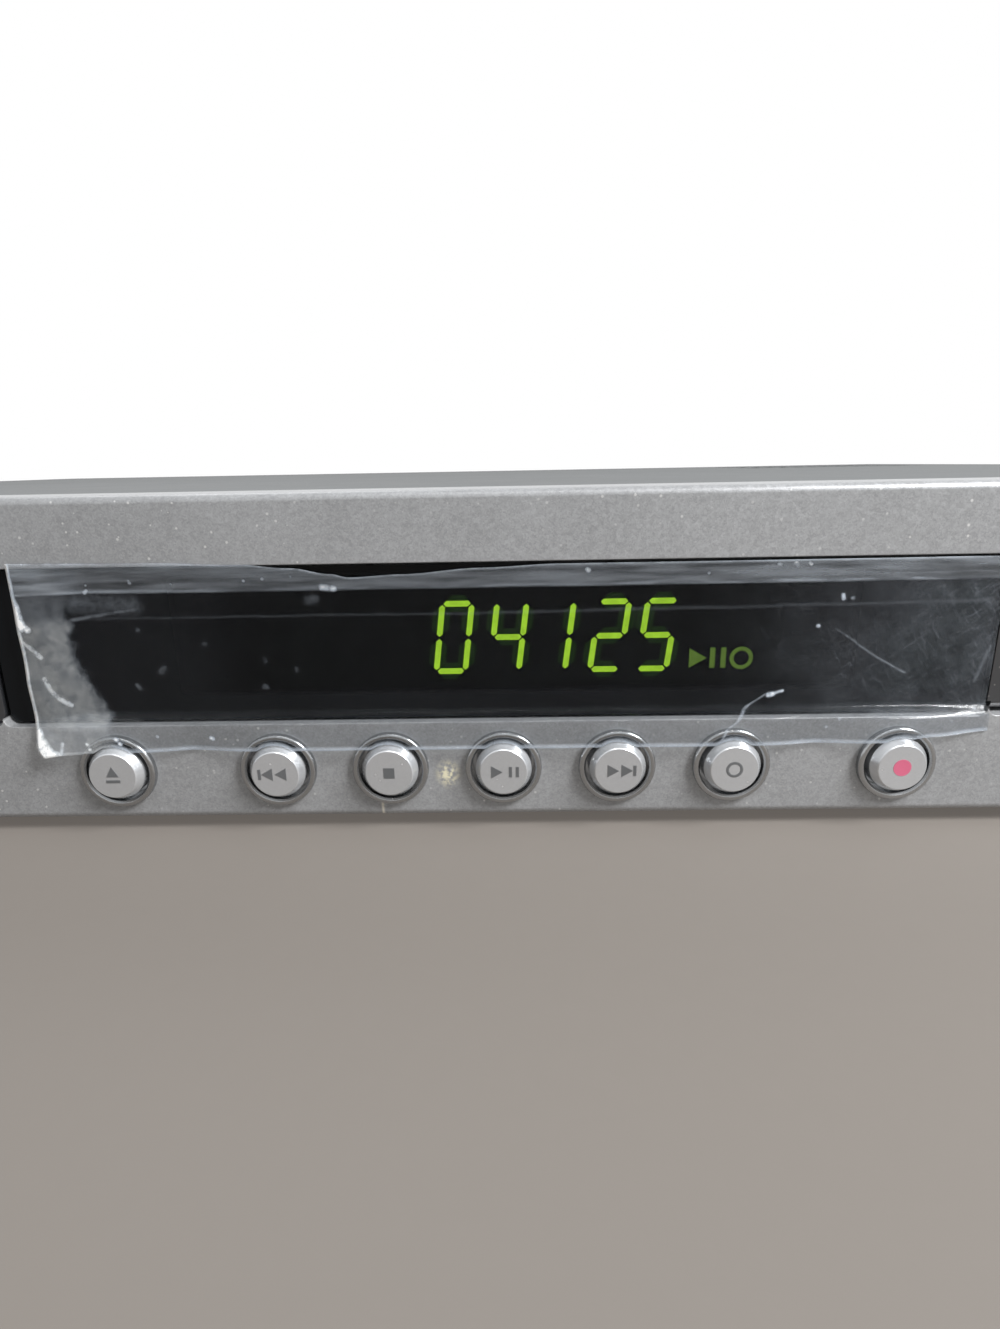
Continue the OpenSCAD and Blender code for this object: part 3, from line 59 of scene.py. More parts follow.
def makeCamera(v):
    data = bpy.data.cameras.new("frontCamera")
    data.sensor_width = v["sensor"]
    data.lens = v["focalPixels"] * v["sensor"] / v["imageHeight"]
    data.clip_start = v["nearClip"]
    camera = bpy.data.objects.new("frontCamera", data)
    look = Euler((math.radians(90 - v["pitch"]), 0, math.radians(v["yaw"]))).to_matrix()
    turn = look @ Matrix.Rotation(-math.radians(v["roll"]), 3, "Z")
    camera.matrix_world = Matrix.Translation(v["place"]) @ turn.to_4x4()
    bpy.context.scene.collection.objects.link(camera)
    bpy.context.scene.camera = camera


makeCamera(cameraValues)
print("camera placed")


# Short forms for shader nodes
def fill(tree, node, inputs):
    for key, value in inputs.items():
        socket = node.inputs[key]
        if isinstance(value, bpy.types.NodeSocket):
            tree.links.new(value, socket)
        else:
            socket.default_value = value


def put(tree, kind, inputs=None, **settings):
    node = tree.nodes.new("ShaderNode" + kind)
    for key, value in settings.items():
        setattr(node, key, value)
    fill(tree, node, inputs or {})
    return node


def calc(tree, operation, a, b=0.0, c=0.0, clamp=False):
    return put(tree, "Math", {0: a, 1: b, 2: c}, operation=operation, use_clamp=clamp).outputs[0]


def times(tree, a, b):
    return calc(tree, "MULTIPLY", a, b)


def larger(tree, a, b):
    return calc(tree, "MAXIMUM", a, b)


def minus(tree, a, b):
    return calc(tree, "SUBTRACT", a, b)


def timesPlus(tree, a, b, c):
    return calc(tree, "MULTIPLY_ADD", a, b, c)


def vectorCalc(tree, operation, a, b=(0, 0, 0), out="Vector"):
    return put(tree, "VectorMath", {0: a, 1: b}, operation=operation).outputs[out]


def scaledVector(tree, vector, share):
    return put(tree, "VectorMath", {0: vector, "Scale": share}, operation="SCALE").outputs[0]


def ramp(tree, value, low, high, start=0.0, end=1.0):
    return put(tree, "MapRange", {0: value, 1: low, 2: high, 3: start, 4: end},
               interpolation_type="SMOOTHSTEP").outputs[0]


def straight(tree, value, low, high, start, end):
    return put(tree, "MapRange", {0: value, 1: low, 2: high, 3: start, 4: end}).outputs[0]


def blendColour(tree, factor, a, b, mode="MIX"):
    return put(tree, "Mix", {0: factor, 6: a, 7: b}, data_type="RGBA", blend_type=mode).outputs[2]


def noiseAt(tree, place, scale, detail=4.0, rough=0.55, out="Fac"):
    return put(tree, "TexNoise", {"Vector": place, "Scale": scale, "Detail": detail,
                                  "Roughness": rough}).outputs[out]


def stretched(tree, place, scale):
    return put(tree, "Mapping", {"Vector": place, "Scale": scale}).outputs[0]


def objectPlace(tree):
    return put(tree, "TexCoord").outputs["Object"]


def axesOf(tree, vector):
    return put(tree, "SeparateXYZ", {0: vector}).outputs


def mixShaders(tree, share, a, b):
    return put(tree, "MixShader", {0: share, 1: a, 2: b}).outputs[0]


def greyOf(tree, value):
    return put(tree, "CombineColor", {0: value, 1: value, 2: value}).outputs[0]


def bumpOf(tree, height, distance, edge=None):
    given = {"Height": height, "Distance": distance, "Strength": 1.0}
    if edge:
        given["Normal"] = put(tree, "Bevel", {"Radius": edge}, samples=bevelSamples).outputs[0]
    return put(tree, "Bump", given).outputs[0]


def startGroup(name, inputs, outputs):
    group = bpy.data.node_groups.new(name, "ShaderNodeTree")
    for label, kind, value in inputs:
        socket = group.interface.new_socket(name=label, in_out="INPUT",
                                            socket_type="NodeSocket" + kind)
        socket.default_value = value
    for label, kind in outputs:
        group.interface.new_socket(name=label, in_out="OUTPUT", socket_type="NodeSocket" + kind)
    given = group.nodes.new("NodeGroupInput").outputs
    return group, given, group.nodes.new("NodeGroupOutput").inputs


def useGroup(tree, name, **inputs):
    return put(tree, "Group", inputs, node_tree=groups[name]).outputs


def maskOf(tree, name, **inputs):
    return useGroup(tree, name, **inputs)["Mask"]


# Metal flakes in lacquer: a random brightness for each small cell
def fleckGroup():
    group, given, made = startGroup(
        "metalFleck", [("Color", "Color", (0.5, 0.5, 0.5, 1)), ("Scale", "Float", 3600.0),
                       ("Spread", "Float", 0.3)], [("Color", "Color"), ("Fleck", "Float")])
    place = objectPlace(group)
    cell = put(group, "TexVoronoi", {"Vector": place, "Scale": given["Scale"]}).outputs["Color"]
    pick = put(group, "SeparateColor", {0: cell}).outputs[0]
    cloud = noiseAt(group, place, scale=70.0, detail=5.0)
    level = timesPlus(group, pick, 0.6, times(group, cloud, 0.4))
    level = minus(group, level, 0.5)
    level = timesPlus(group, level, given["Spread"], 1.0)
    group.links.new(scaledVector(group, given["Color"], level), made["Color"])
    group.links.new(pick, made["Fleck"])
    return group


# Dust and lint: small round specks of random size, thicker in some patches
def dustGroup():
    group, given, made = startGroup(
        "dustSpecks", [("Scale", "Float", 1300.0), ("Amount", "Float", 0.1)], [("Mask", "Float")])
    place = objectPlace(group)
    cell = put(group, "TexVoronoi", {"Vector": place, "Scale": given["Scale"]}).outputs
    pick = put(group, "SeparateColor", {0: cell["Color"]}).outputs[1]
    size = ramp(group, pick, minus(group, 1.0, given["Amount"]), 1.0, end=0.3)
    speck = ramp(group, minus(group, size, cell["Distance"]), 0.0, 0.12)
    patch = ramp(group, noiseAt(group, place, scale=30.0, detail=3.0), 0.4, 0.6, start=0.25)
    group.links.new(times(group, speck, patch), made["Mask"])
    return group


# Hairline scratches in two directions
def scratchGroup():
    group, given, made = startGroup(
        "hairScratches", [("Scale", "Float", 160.0), ("Amount", "Float", 0.3)],
        [("Mask", "Float")])
    place = objectPlace(group)
    gateLow = minus(group, 0.72, given["Amount"])
    both = None
    for turn in ((0.3, 0.6, 0.2), (-0.5, -0.9, 1.1)):
        turned = put(group, "Mapping", {"Vector": place, "Rotation": turn}).outputs[0]
        fine = noiseAt(group, stretched(group, turned, (1.0, 1.0, 22.0)), given["Scale"],
                       detail=2.0)
        edge = calc(group, "ABSOLUTE", minus(group, fine, 0.5))
        line = ramp(group, edge, 0.0, 0.012, 1.0, 0.0)
        gate = ramp(group, noiseAt(group, turned, scale=40.0, detail=2.0), gateLow, 0.8)
        line = times(group, line, gate)
        both = line if both is None else larger(group, both, line)
    group.links.new(both, made["Mask"])
    return group


# Worn edges: where the rounded normal leaves the true one
def wearGroup():
    group, given, made = startGroup(
        "edgeWear", [("Radius", "Float", 0.0006), ("Amount", "Float", 0.5)], [("Mask", "Float")])
    place = objectPlace(group)
    soft = put(group, "Bevel", {"Radius": given["Radius"]}, samples=bevelSamples).outputs[0]
    true = put(group, "NewGeometry").outputs["Normal"]
    leave = minus(group, 1.0, vectorCalc(group, "DOT_PRODUCT", soft, true, "Value"))
    patch = ramp(group, noiseAt(group, place, scale=350.0), 0.35, 0.65)
    broken = times(group, ramp(group, leave, 0.02, 0.2), patch)
    group.links.new(times(group, broken, given["Amount"]), made["Mask"])
    return group


# Spark-eroded mould texture on plastics
def grainGroup():
    group, given, made = startGroup("mouldGrain", [("Scale", "Float", 2200.0)],
                                    [("Height", "Float")])
    place = objectPlace(group)
    pits = put(group, "TexVoronoi", {"Vector": place, "Scale": given["Scale"]},
               feature="SMOOTH_F1").outputs["Distance"]
    waves = noiseAt(group, place, times(group, given["Scale"], 0.12))
    group.links.new(timesPlus(group, waves, 0.5, pits), made["Height"])
    return group


# Rolled or brushed sheet: long fine lines
def rolledGroup():
    group, given, made = startGroup(
        "rolledLines", [("Scale", "Float", 900.0), ("Stretch", "Vector", (0.03, 1, 1))],
        [("Value", "Float")])
    drawn = vectorCalc(group, "MULTIPLY", objectPlace(group), given["Stretch"])
    group.links.new(noiseAt(group, drawn, given["Scale"], detail=3.0, rough=0.7), made["Value"])
    return group


# One drawn line between two points, seen from the front: lint and hair, specks, and the painted
# glints and crease highlights on the film
def lineGroup():
    group, given, made = startGroup(
        "drawnLine", [("Start", "Vector", (0, 0, 0)), ("End", "Vector", (0, 0, 0)),
                      ("Width", "Float", 0.0003), ("Wobble", "Float", 0.0006)],
        [("Mask", "Float")])
    place = objectPlace(group)
    shift = noiseAt(group, place, scale=130.0, detail=3.0, out="Color")
    shift = vectorCalc(group, "SUBTRACT", shift, (0.5, 0.5, 0.5))
    here = vectorCalc(group, "ADD", place, scaledVector(group, shift, given["Wobble"]))
    flat = (1, 0, 1)
    reach = vectorCalc(group, "SUBTRACT", here, given["Start"])
    reach = vectorCalc(group, "MULTIPLY", reach, flat)
    line = vectorCalc(group, "SUBTRACT", given["End"], given["Start"])
    line = vectorCalc(group, "MULTIPLY", line, flat)
    share = calc(group, "DIVIDE", vectorCalc(group, "DOT_PRODUCT", reach, line, "Value"),
                 vectorCalc(group, "DOT_PRODUCT", line, line, "Value"), clamp=True)
    gap = vectorCalc(group, "DISTANCE", reach, scaledVector(group, line, share), "Value")
    group.links.new(ramp(group, gap, 0.0, given["Width"], 1.0, 0.0), made["Mask"])
    return group


groups = {"fleck": fleckGroup(), "dust": dustGroup(), "scratch": scratchGroup(),
          "wear": wearGroup(), "grain": grainGroup(), "rolled": rolledGroup(),
          "line": lineGroup()}


def blankMaterial(name):
    material = bpy.data.materials.new(name)
    material.use_nodes = True
    tree = material.node_tree
    tree.nodes.clear()
    shader = put(tree, "BsdfPrincipled")
    out = put(tree, "OutputMaterial")
    tree.links.new(shader.outputs[0], out.inputs[0])
    return material, tree, shader


def showInstead(tree, surface):
    out = next(n for n in tree.nodes if n.type == "OUTPUT_MATERIAL")
    tree.links.new(surface, out.inputs[0])


def opaque(colour):
    return (*colour[:3], 1.0)


def darker(colour, share):
    return opaque([c * share for c in colour])


def tinted(tree, v, what, mask, colour):
    return blendColour(tree, times(tree, mask, v[what + "Share"]), colour, v[what + "Colour"])


# Plain finishes: plastics, plated steel, rubber
finishDefaults = {
    "tint": 0.82, "rough": 0.5, "roughSpread": 0.12, "metallic": 0.0, "coat": 0.0,
    "coatRough": 0.12, "specular": 0.5, "grain": 2200.0, "grainDepth": 0.00002, "rolled": 0.0,
    "stretch": (0.03, 1, 1), "lineRough": 0.2, "lineDepth": 0.8, "dust": 0.12, "dustShare": 0.5,
    "dustRough": 0.8, "dustColour": (0.55, 0.53, 0.5, 1), "wear": 0.25, "wornGain": 1.25,
    "wornLift": 0.08, "edge": 0.0003, "mottle": 60.0, "flecks": 0.0}


def makeFinish(name, given):
    v = {**finishDefaults, **given}
    material, tree, shader = blankMaterial(name)
    place = objectPlace(tree)
    worn = opaque([min(1.0, c * v["wornGain"] + v["wornLift"]) for c in v["base"]])
    cloud = noiseAt(tree, place, v["mottle"], detail=6.0, rough=0.6)
    colour = blendColour(tree, ramp(tree, cloud, 0.3, 0.7), darker(v["base"], v["tint"]),
                         opaque(v["base"]))
    if v["flecks"]:
        colour = useGroup(tree, "fleck", Color=colour, Spread=v["flecks"])["Color"]
    rough = timesPlus(tree, cloud, v["roughSpread"], v["rough"] - v["roughSpread"] / 2)
    height = useGroup(tree, "grain", Scale=v["grain"])["Height"]
    if v["rolled"]:
        lines = useGroup(tree, "rolled", Stretch=v["stretch"])["Value"]
        colour = blendColour(tree, v["rolled"], colour, greyOf(tree, lines), "SOFT_LIGHT")
        rough = timesPlus(tree, lines, v["lineRough"] * v["rolled"], rough)
        height = timesPlus(tree, lines, v["lineDepth"], height)
    edges = maskOf(tree, "wear", Amount=v["wear"])
    colour = blendColour(tree, edges, colour, worn)
    dust = maskOf(tree, "dust", Amount=v["dust"])
    colour = tinted(tree, v, "dust", dust, colour)
    rough = larger(tree, rough, times(tree, dust, v["dustRough"]))
    fill(tree, shader, {
        "Base Color": colour, "Roughness": rough, "Metallic": v["metallic"],
        "Coat Weight": v["coat"], "Coat Roughness": v["coatRough"],
        "Specular IOR Level": v["specular"],
        "Normal": bumpOf(tree, height, v["grainDepth"], v["edge"])})
    return material


zinc = {"base": (0.6, 0.6, 0.59), "rough": 0.4, "metallic": 0.85, "rolled": 0.5,
        "grainDepth": 0.000006, "mottle": 120.0}
darkPlastic = {"rough": 0.55, "tint": 0.8, "dust": 0.16}
finishes = {
    "chassis_steel": {**zinc, "flecks": 0.25},
    "rear_steel": {**zinc, "base": (0.56, 0.56, 0.55), "flecks": 0.2},
    "cover_paint": {"base": (0.105, 0.112, 0.115), "rough": 0.5, "metallic": 0.2,
                    "specular": 0.25, "grain": 1500.0, "grainDepth": 0.00003, "flecks": 0.14,
                    "dust": 0.2, "tint": 0.94},
    "foot_rubber": {"base": (0.022, 0.022, 0.024), "rough": 0.82, "grain": 1400.0,
                    "grainDepth": 0.00006, "dust": 0.35, "wear": 0.1},
    "screw_steel": {**zinc, "base": (0.66, 0.66, 0.65), "rough": 0.28, "rolled": 0.0,
                    "metallic": 1.0},
    "button_silver": {"base": (0.66, 0.68, 0.705), "rough": 0.24, "metallic": 0.68,
                      "roughSpread": 0.05, "flecks": 0.06, "grainDepth": 0.000002, "tint": 0.95,
                      "edge": 0.00012, "wear": 0.0, "dust": 0.06},
    "rim_chrome": {"base": (0.44, 0.45, 0.46), "rough": 0.2, "metallic": 1.0,
                   "grainDepth": 0.000001, "roughSpread": 0.05, "tint": 0.92, "edge": 0.00015,
                   "wear": 0.0, "dust": 0.05},
    "switch_black": {**darkPlastic, "base": (0.03, 0.03, 0.032)},
    "door_black": {"base": (0.032, 0.034, 0.038), "rough": 0.14, "coat": 0.8,
                   "grainDepth": 0.000001, "dust": 0.22, "roughSpread": 0.06, "wear": 0.1},
    "bay_black": {**darkPlastic, "base": (0.03, 0.03, 0.033), "grainDepth": 0.00004},
    "loader_black": {**darkPlastic, "base": (0.04, 0.04, 0.043), "grainDepth": 0.00004},
    "bridge_steel": {**zinc, "flecks": 0.15},
    "puck_black": {**darkPlastic, "base": (0.05, 0.05, 0.055)},
    "tray_grey": {"base": (0.055, 0.056, 0.06), "rough": 0.5, "grain": 1700.0,
                  "grainDepth": 0.00005, "dust": 0.08},
    "gear_white": {"base": (0.78, 0.75, 0.66), "rough": 0.42, "tint": 0.93, "specular": 0.45,
                   "grainDepth": 0.00001},
    "belt_rubber": {"base": (0.02, 0.02, 0.02), "rough": 0.75},
    "motor_can": {**zinc, "base": (0.62, 0.63, 0.64), "rough": 0.3},
    "traverse_grey": {**darkPlastic, "base": (0.06, 0.062, 0.066), "grainDepth": 0.00004},
    "rod_steel": {"base": (0.62, 0.62, 0.63), "rough": 0.14, "metallic": 1.0,
                  "grainDepth": 0.000001, "rolled": 0.2},
    "turntable_black": {**darkPlastic, "base": (0.04, 0.04, 0.043)},
    "carriage_metal": {"base": (0.36, 0.37, 0.38), "rough": 0.45, "metallic": 0.8,
                       "grain": 900.0, "grainDepth": 0.00006},
    "chip_black": {**darkPlastic, "base": (0.025, 0.025, 0.027), "grainDepth": 0.00003},
    "winding_yellow": {"base": (0.7, 0.5, 0.08), "rough": 0.45, "rolled": 0.3},
    "capacitor_blue": {"base": (0.03, 0.045, 0.14), "rough": 0.3, "coat": 0.3},
    "sink_aluminium": {**zinc, "base": (0.68, 0.69, 0.7), "rough": 0.42},
    "ribbon_white": {"base": (0.78, 0.79, 0.8), "rough": 0.4, "rolled": 0.7,
                     "stretch": (1, 0.02, 0.02)},
    "tuner_steel": {**zinc, "base": (0.64, 0.65, 0.65), "rough": 0.3},
    "aerial_metal": {**zinc, "base": (0.62, 0.61, 0.58), "rough": 0.2, "rolled": 0.0,
                     "metallic": 1.0},
    "socket_black": {**darkPlastic, "base": (0.016, 0.016, 0.017)},
    "fan_black": {**darkPlastic, "base": (0.018, 0.018, 0.019)},
    "lens_glass": {"base": (0.12, 0.2, 0.42), "rough": 0.08, "coat": 1.0,
                   "grainDepth": 0.0000005},
}


# Silver lacquer of the bezel, with one yellowish smudge and a short piece of lint
lacquer = {
    "base": (0.335, 0.342, 0.352), "metallic": 0.25, "rough": 0.36, "roughSpread": 0.12,
    "flecks": 0.34, "fleckScale": 3800.0, "coarseScale": 1500.0, "edge": 0.0003,
    "waves": 420.0, "waveDepth": 0.5, "fleckDepth": 0.35, "grainDepth": 0.000012,
    "smudge": (0.0117, -0.1445, 0.0102), "smudgeShape": (0.85, 0, 0.7),
    "smudgeInner": 0.0004, "smudgeOuter": 0.0022, "smudgeGrain": 1300.0, "smudgeShare": 0.9,
    "smudgeRough": 0.7, "smudgeColour": (0.85, 0.8, 0.58, 1),
    "lint": ((0.0001, 0, 0.0074), (0.0004, 0, 0.0024)), "lintWidth": 0.0004,
    "lintWobble": 0.0012, "lintShare": 0.9, "lintColour": (0.8, 0.76, 0.66, 1),
    "dust": 0.09, "dustScale": 1100.0, "dustShare": 0.6, "scratch": 0.2, "scratchShare": 0.15,
    "dustColour": (0.75, 0.75, 0.74, 1), "wear": 0.35, "wornColour": (0.62, 0.63, 0.64, 1)}


def bezelLacquer(name, v):
    material, tree, shader = blankMaterial(name)
    place = objectPlace(tree)
    fleck = useGroup(tree, "fleck", Color=opaque(v["base"]), Scale=v["fleckScale"],
                     Spread=v["flecks"])
    coarse = useGroup(tree, "fleck", Color=fleck["Color"], Scale=v["coarseScale"],
                      Spread=v["flecks"] / 2)
    smear = vectorCalc(tree, "SUBTRACT", place, v["smudge"])
    smear = vectorCalc(tree, "MULTIPLY", smear, v["smudgeShape"])
    smear = ramp(tree, vectorCalc(tree, "LENGTH", smear, out="Value"), v["smudgeInner"],
                 v["smudgeOuter"], 1.0, 0.0)
    broken = ramp(tree, noiseAt(tree, place, v["smudgeGrain"]), 0.38, 0.58)
    smear = times(tree, smear, broken)
    lint = maskOf(tree, "line", Start=v["lint"][0], End=v["lint"][1], Width=v["lintWidth"],
                  Wobble=v["lintWobble"])
    dust = maskOf(tree, "dust", Scale=v["dustScale"], Amount=v["dust"])
    scratch = maskOf(tree, "scratch", Amount=v["scratch"])
    marks = larger(tree, times(tree, dust, v["dustShare"]),
                   times(tree, scratch, v["scratchShare"]))
    colour = blendColour(tree, marks, coarse["Color"], v["dustColour"])
    colour = tinted(tree, v, "smudge", smear, colour)
    colour = tinted(tree, v, "lint", lint, colour)
    edges = maskOf(tree, "wear", Amount=v["wear"])
    colour = blendColour(tree, edges, colour, v["wornColour"])
    rough = timesPlus(tree, coarse["Fleck"], v["roughSpread"], v["rough"] - v["roughSpread"] / 2)
    rough = larger(tree, rough, times(tree, smear, v["smudgeRough"]))
    height = timesPlus(tree, noiseAt(tree, place, v["waves"], detail=3.0), v["waveDepth"],
                       times(tree, fleck["Fleck"], v["fleckDepth"]))
    fill(tree, shader, {"Base Color": colour, "Roughness": rough, "Metallic": v["metallic"],
                        "Normal": bumpOf(tree, height, v["grainDepth"], v["edge"])})
    return material


# Smoked window: black printed border, and a clear area before the display
windowValues = {
    "clear": (0.5, 0.52, 0.52), "print": (0.006, 0.007, 0.0085),
    "area": ((-0.034, 0.0240), (0.080, 0.0445)), "fade": 0.020, "rimFade": 0.001,
    "rough": 0.05, "roughSpread": 0.05, "specular": 0.15, "shine": 0.25, "index": 1.4,
    "shineTint": (0.86, 0.93, 1.0, 1), "glossRough": 0.05, "dust": 0.04, "dustScale": 900.0,
    "dustShare": 0.2, "dustHides": -0.6, "dustColour": (0.5, 0.52, 0.55, 1)}


def clearPane(tree, v, tint, gloss):
    clear = put(tree, "BsdfTransparent", {"Color": tint})
    shine = put(tree, "BsdfGlossy", gloss)
    share = put(tree, "Fresnel", {"IOR": v["index"]}).outputs[0]
    return mixShaders(tree, times(tree, share, v["shine"]), clear.outputs[0], shine.outputs[0])


def smokedWindow(name, v):
    material, tree, shader = blankMaterial(name)
    place = objectPlace(tree)
    axis = axesOf(tree, place)
    (x0, z0), (x1, z1) = v["area"]
    inside = times(tree, ramp(tree, axis["X"], x0, x0 + v["fade"]),
                   ramp(tree, axis["X"], x1 - v["fade"], x1, 1.0, 0.0))
    inside = times(tree, inside, ramp(tree, axis["Z"], z0, z0 + v["rimFade"]))
    inside = times(tree, inside, ramp(tree, axis["Z"], z1 - v["rimFade"], z1, 1.0, 0.0))
    dust = maskOf(tree, "dust", Scale=v["dustScale"], Amount=v["dust"])
    colour = tinted(tree, v, "dust", dust, opaque(v["print"]))
    rough = timesPlus(tree, noiseAt(tree, place, scale=90.0), v["roughSpread"], v["rough"])
    fill(tree, shader, {"Base Color": colour, "Roughness": rough,
                        "Specular IOR Level": v["specular"]})
    pane = clearPane(tree, v, opaque(v["clear"]),
                     {"Color": v["shineTint"], "Roughness": v["glossRough"]})
    see = times(tree, inside, timesPlus(tree, dust, v["dustHides"], 1.0))
    showInstead(tree, mixShaders(tree, see, shader.outputs[0], pane))
    return material


# Marks on the clear film in mm, mostly painted glints and painted crease highlights, with a few
# specks and a hair: across and up of one end, of the other, width; and strength
filmGlintsAndSpecks = [
    (-56.6, 40.6, -55.9, 36.8, 1.2, 1.5), (-56.3, 34.4, -53.9, 31.6, 0.8, 0.5),
    (-55.9, 37.2, -55.0, 36.4, 0.9, 1.2), (-56.2, 19.0, -55.7, 16.9, 1.0, 1.4),
    (-55.7, 16.9, -54.6, 15.4, 1.7, 1.7), (-54.6, 15.4, -53.2, 14.9, 1.3, 1.7),
    (-52.6, 15.0, -52.2, 17.0, 0.6, 0.5), (-5.5, 42.9, 4.0, 42.9, 1.3, 0.13),
    (-7.5, 42.1, -5.6, 41.9, 0.8, 0.8), (-53.7, 27.9, -52.6, 24.8, 0.8, 0.4),
    (-52.6, 24.8, -50.8, 23.2, 0.8, 0.5), (-51.8, 20.5, -49.5, 19.4, 0.9, 0.15),
    (-49.0, 22.0, -45.9, 19.5, 1.2, 0.15), (-48.3, 37.5, -38.2, 38.9, 0.5, 0.08),
    (-50.6, 37.5, 20.0, 37.6, 0.4, 0.022), (20.0, 37.6, 99.0, 38.4, 0.5, 0.028),
    (-47.6, 40.2, -38.4, 39.6, 2.6, 0.05), (-43.2, 17.6, -43.0, 17.5, 0.55, 1.0),
    (-42.6, 16.8, -42.5, 16.7, 0.5, 0.9), (-48.1, 16.9, -48.0, 16.8, 0.5, 0.8),
    (-47.8, 15.9, -47.7, 15.9, 0.45, 0.8), (-27.5, 17.4, -27.2, 17.3, 0.5, 0.85),
    (-36.5, 17.9, -36.4, 17.8, 0.4, 0.17), (-45.8, 41.8, -45.4, 42.1, 0.5, 0.7),
    (-38.1, 43.8, -38.0, 43.4, 0.5, 0.6), (-38.2, 35.5, -38.1, 35.5, 0.6, 0.07),
    (-27.6, 33.0, -27.4, 33.0, 0.7, 0.03), (-35.3, 28.4, -34.7, 28.9, 0.9, 0.05),
    (-39.7, 26.2, -39.2, 25.6, 0.6, 0.06), (-18.4, 25.6, -18.1, 25.5, 0.7, 0.08),
    (-17.8, 30.3, -17.8, 30.0, 0.7, 0.035), (-12.7, 28.7, -12.7, 28.2, 0.6, 0.03),
    (-9.8, 40.0, -8.8, 40.2, 1.2, 0.05), (57.1, 16.3, 57.8, 18.0, 0.36, 0.24),
    (57.8, 18.0, 60.6, 20.4, 0.32, 0.13), (60.6, 20.4, 64.3, 23.2, 0.3, 0.17),
    (64.9, 23.1, 65.6, 23.3, 0.6, 1.0), (66.0, 23.5, 67.2, 23.9, 0.4, 0.6),
    (71.9, 34.6, 72.0, 34.6, 0.5, 0.55), (75.0, 34.0, 76.6, 33.0, 0.3, 0.04),
    (76.6, 33.0, 81.8, 29.3, 0.32, 0.09), (81.8, 29.3, 86.8, 26.6, 0.32, 0.12),
    (75.5, 39.0, 75.4, 39.6, 0.5, 0.5), (76.9, 39.1, 77.0, 39.1, 0.5, 0.2),
    (64.4, 44.9, 64.8, 44.8, 0.5, 0.6), (67.0, 45.0, 67.4, 44.7, 0.6, 1.0),
    (69.1, 45.0, 69.4, 44.8, 0.5, 0.9), (34.8, 44.4, 34.9, 44.3, 0.7, 0.8),
    (99.9, 30.8, 98.2, 25.0, 0.5, 0.06)]

filmLook = {
    "hazeAndSheenTint": (0.70, 0.78, 0.88), "milk": (0.85, 0.87, 0.86), "bright": (0.92, 0.93, 0.93, 1),
    "clear": (0.92, 0.925, 0.93, 1), "index": 1.4, "shine": 0.15, "glossRough": 0.12,
    "rough": 0.25, "roughSpread": 0.2, "ripple": 0.00002,
    # Milky band: how strong, its ragged inner edge from above to below, and its paler top
    "band": 0.115, "bandUp": (0.0300, 0.0185), "bandAcross": (-0.0491, -0.0436),
    "ragged": 0.0034, "bandFade": (-0.0010, 0.0012), "bandTop": (0.0362, 0.0386, 0.4),
    # Painted reflection on the strip above the crease, and a painted highlight along the crease:
    # the crease's ends, the reflection's strength from left to right
    "creaseAcross": (-0.02, 0.1), "creaseUp": (0.0420, 0.0423), "sheenAcross": (0.0, 0.1),
    "stripSheen": (0.16, 0.28), "soft": 0.0002, "creaseGlint": 0.0006,
    # Painted highlights on the cut edges: how far in and how bright
    "low": (0.03, 0.38), "brim": (0.975, 0.24), "end": (0.0050, 1.1), "wobble": 0.0006,
    # Dust and a faint cloudy lightening at the right
    "rightAcross": (0.05, 0.1), "rightLeast": 0.08, "dust": 0.18, "dustScale": 800.0,
    "dustShare": 0.45, "scratch": 0.4, "scratchScale": 120.0, "scratchShare": 0.14,
    "rightCloud": (0.012, 0.04)}


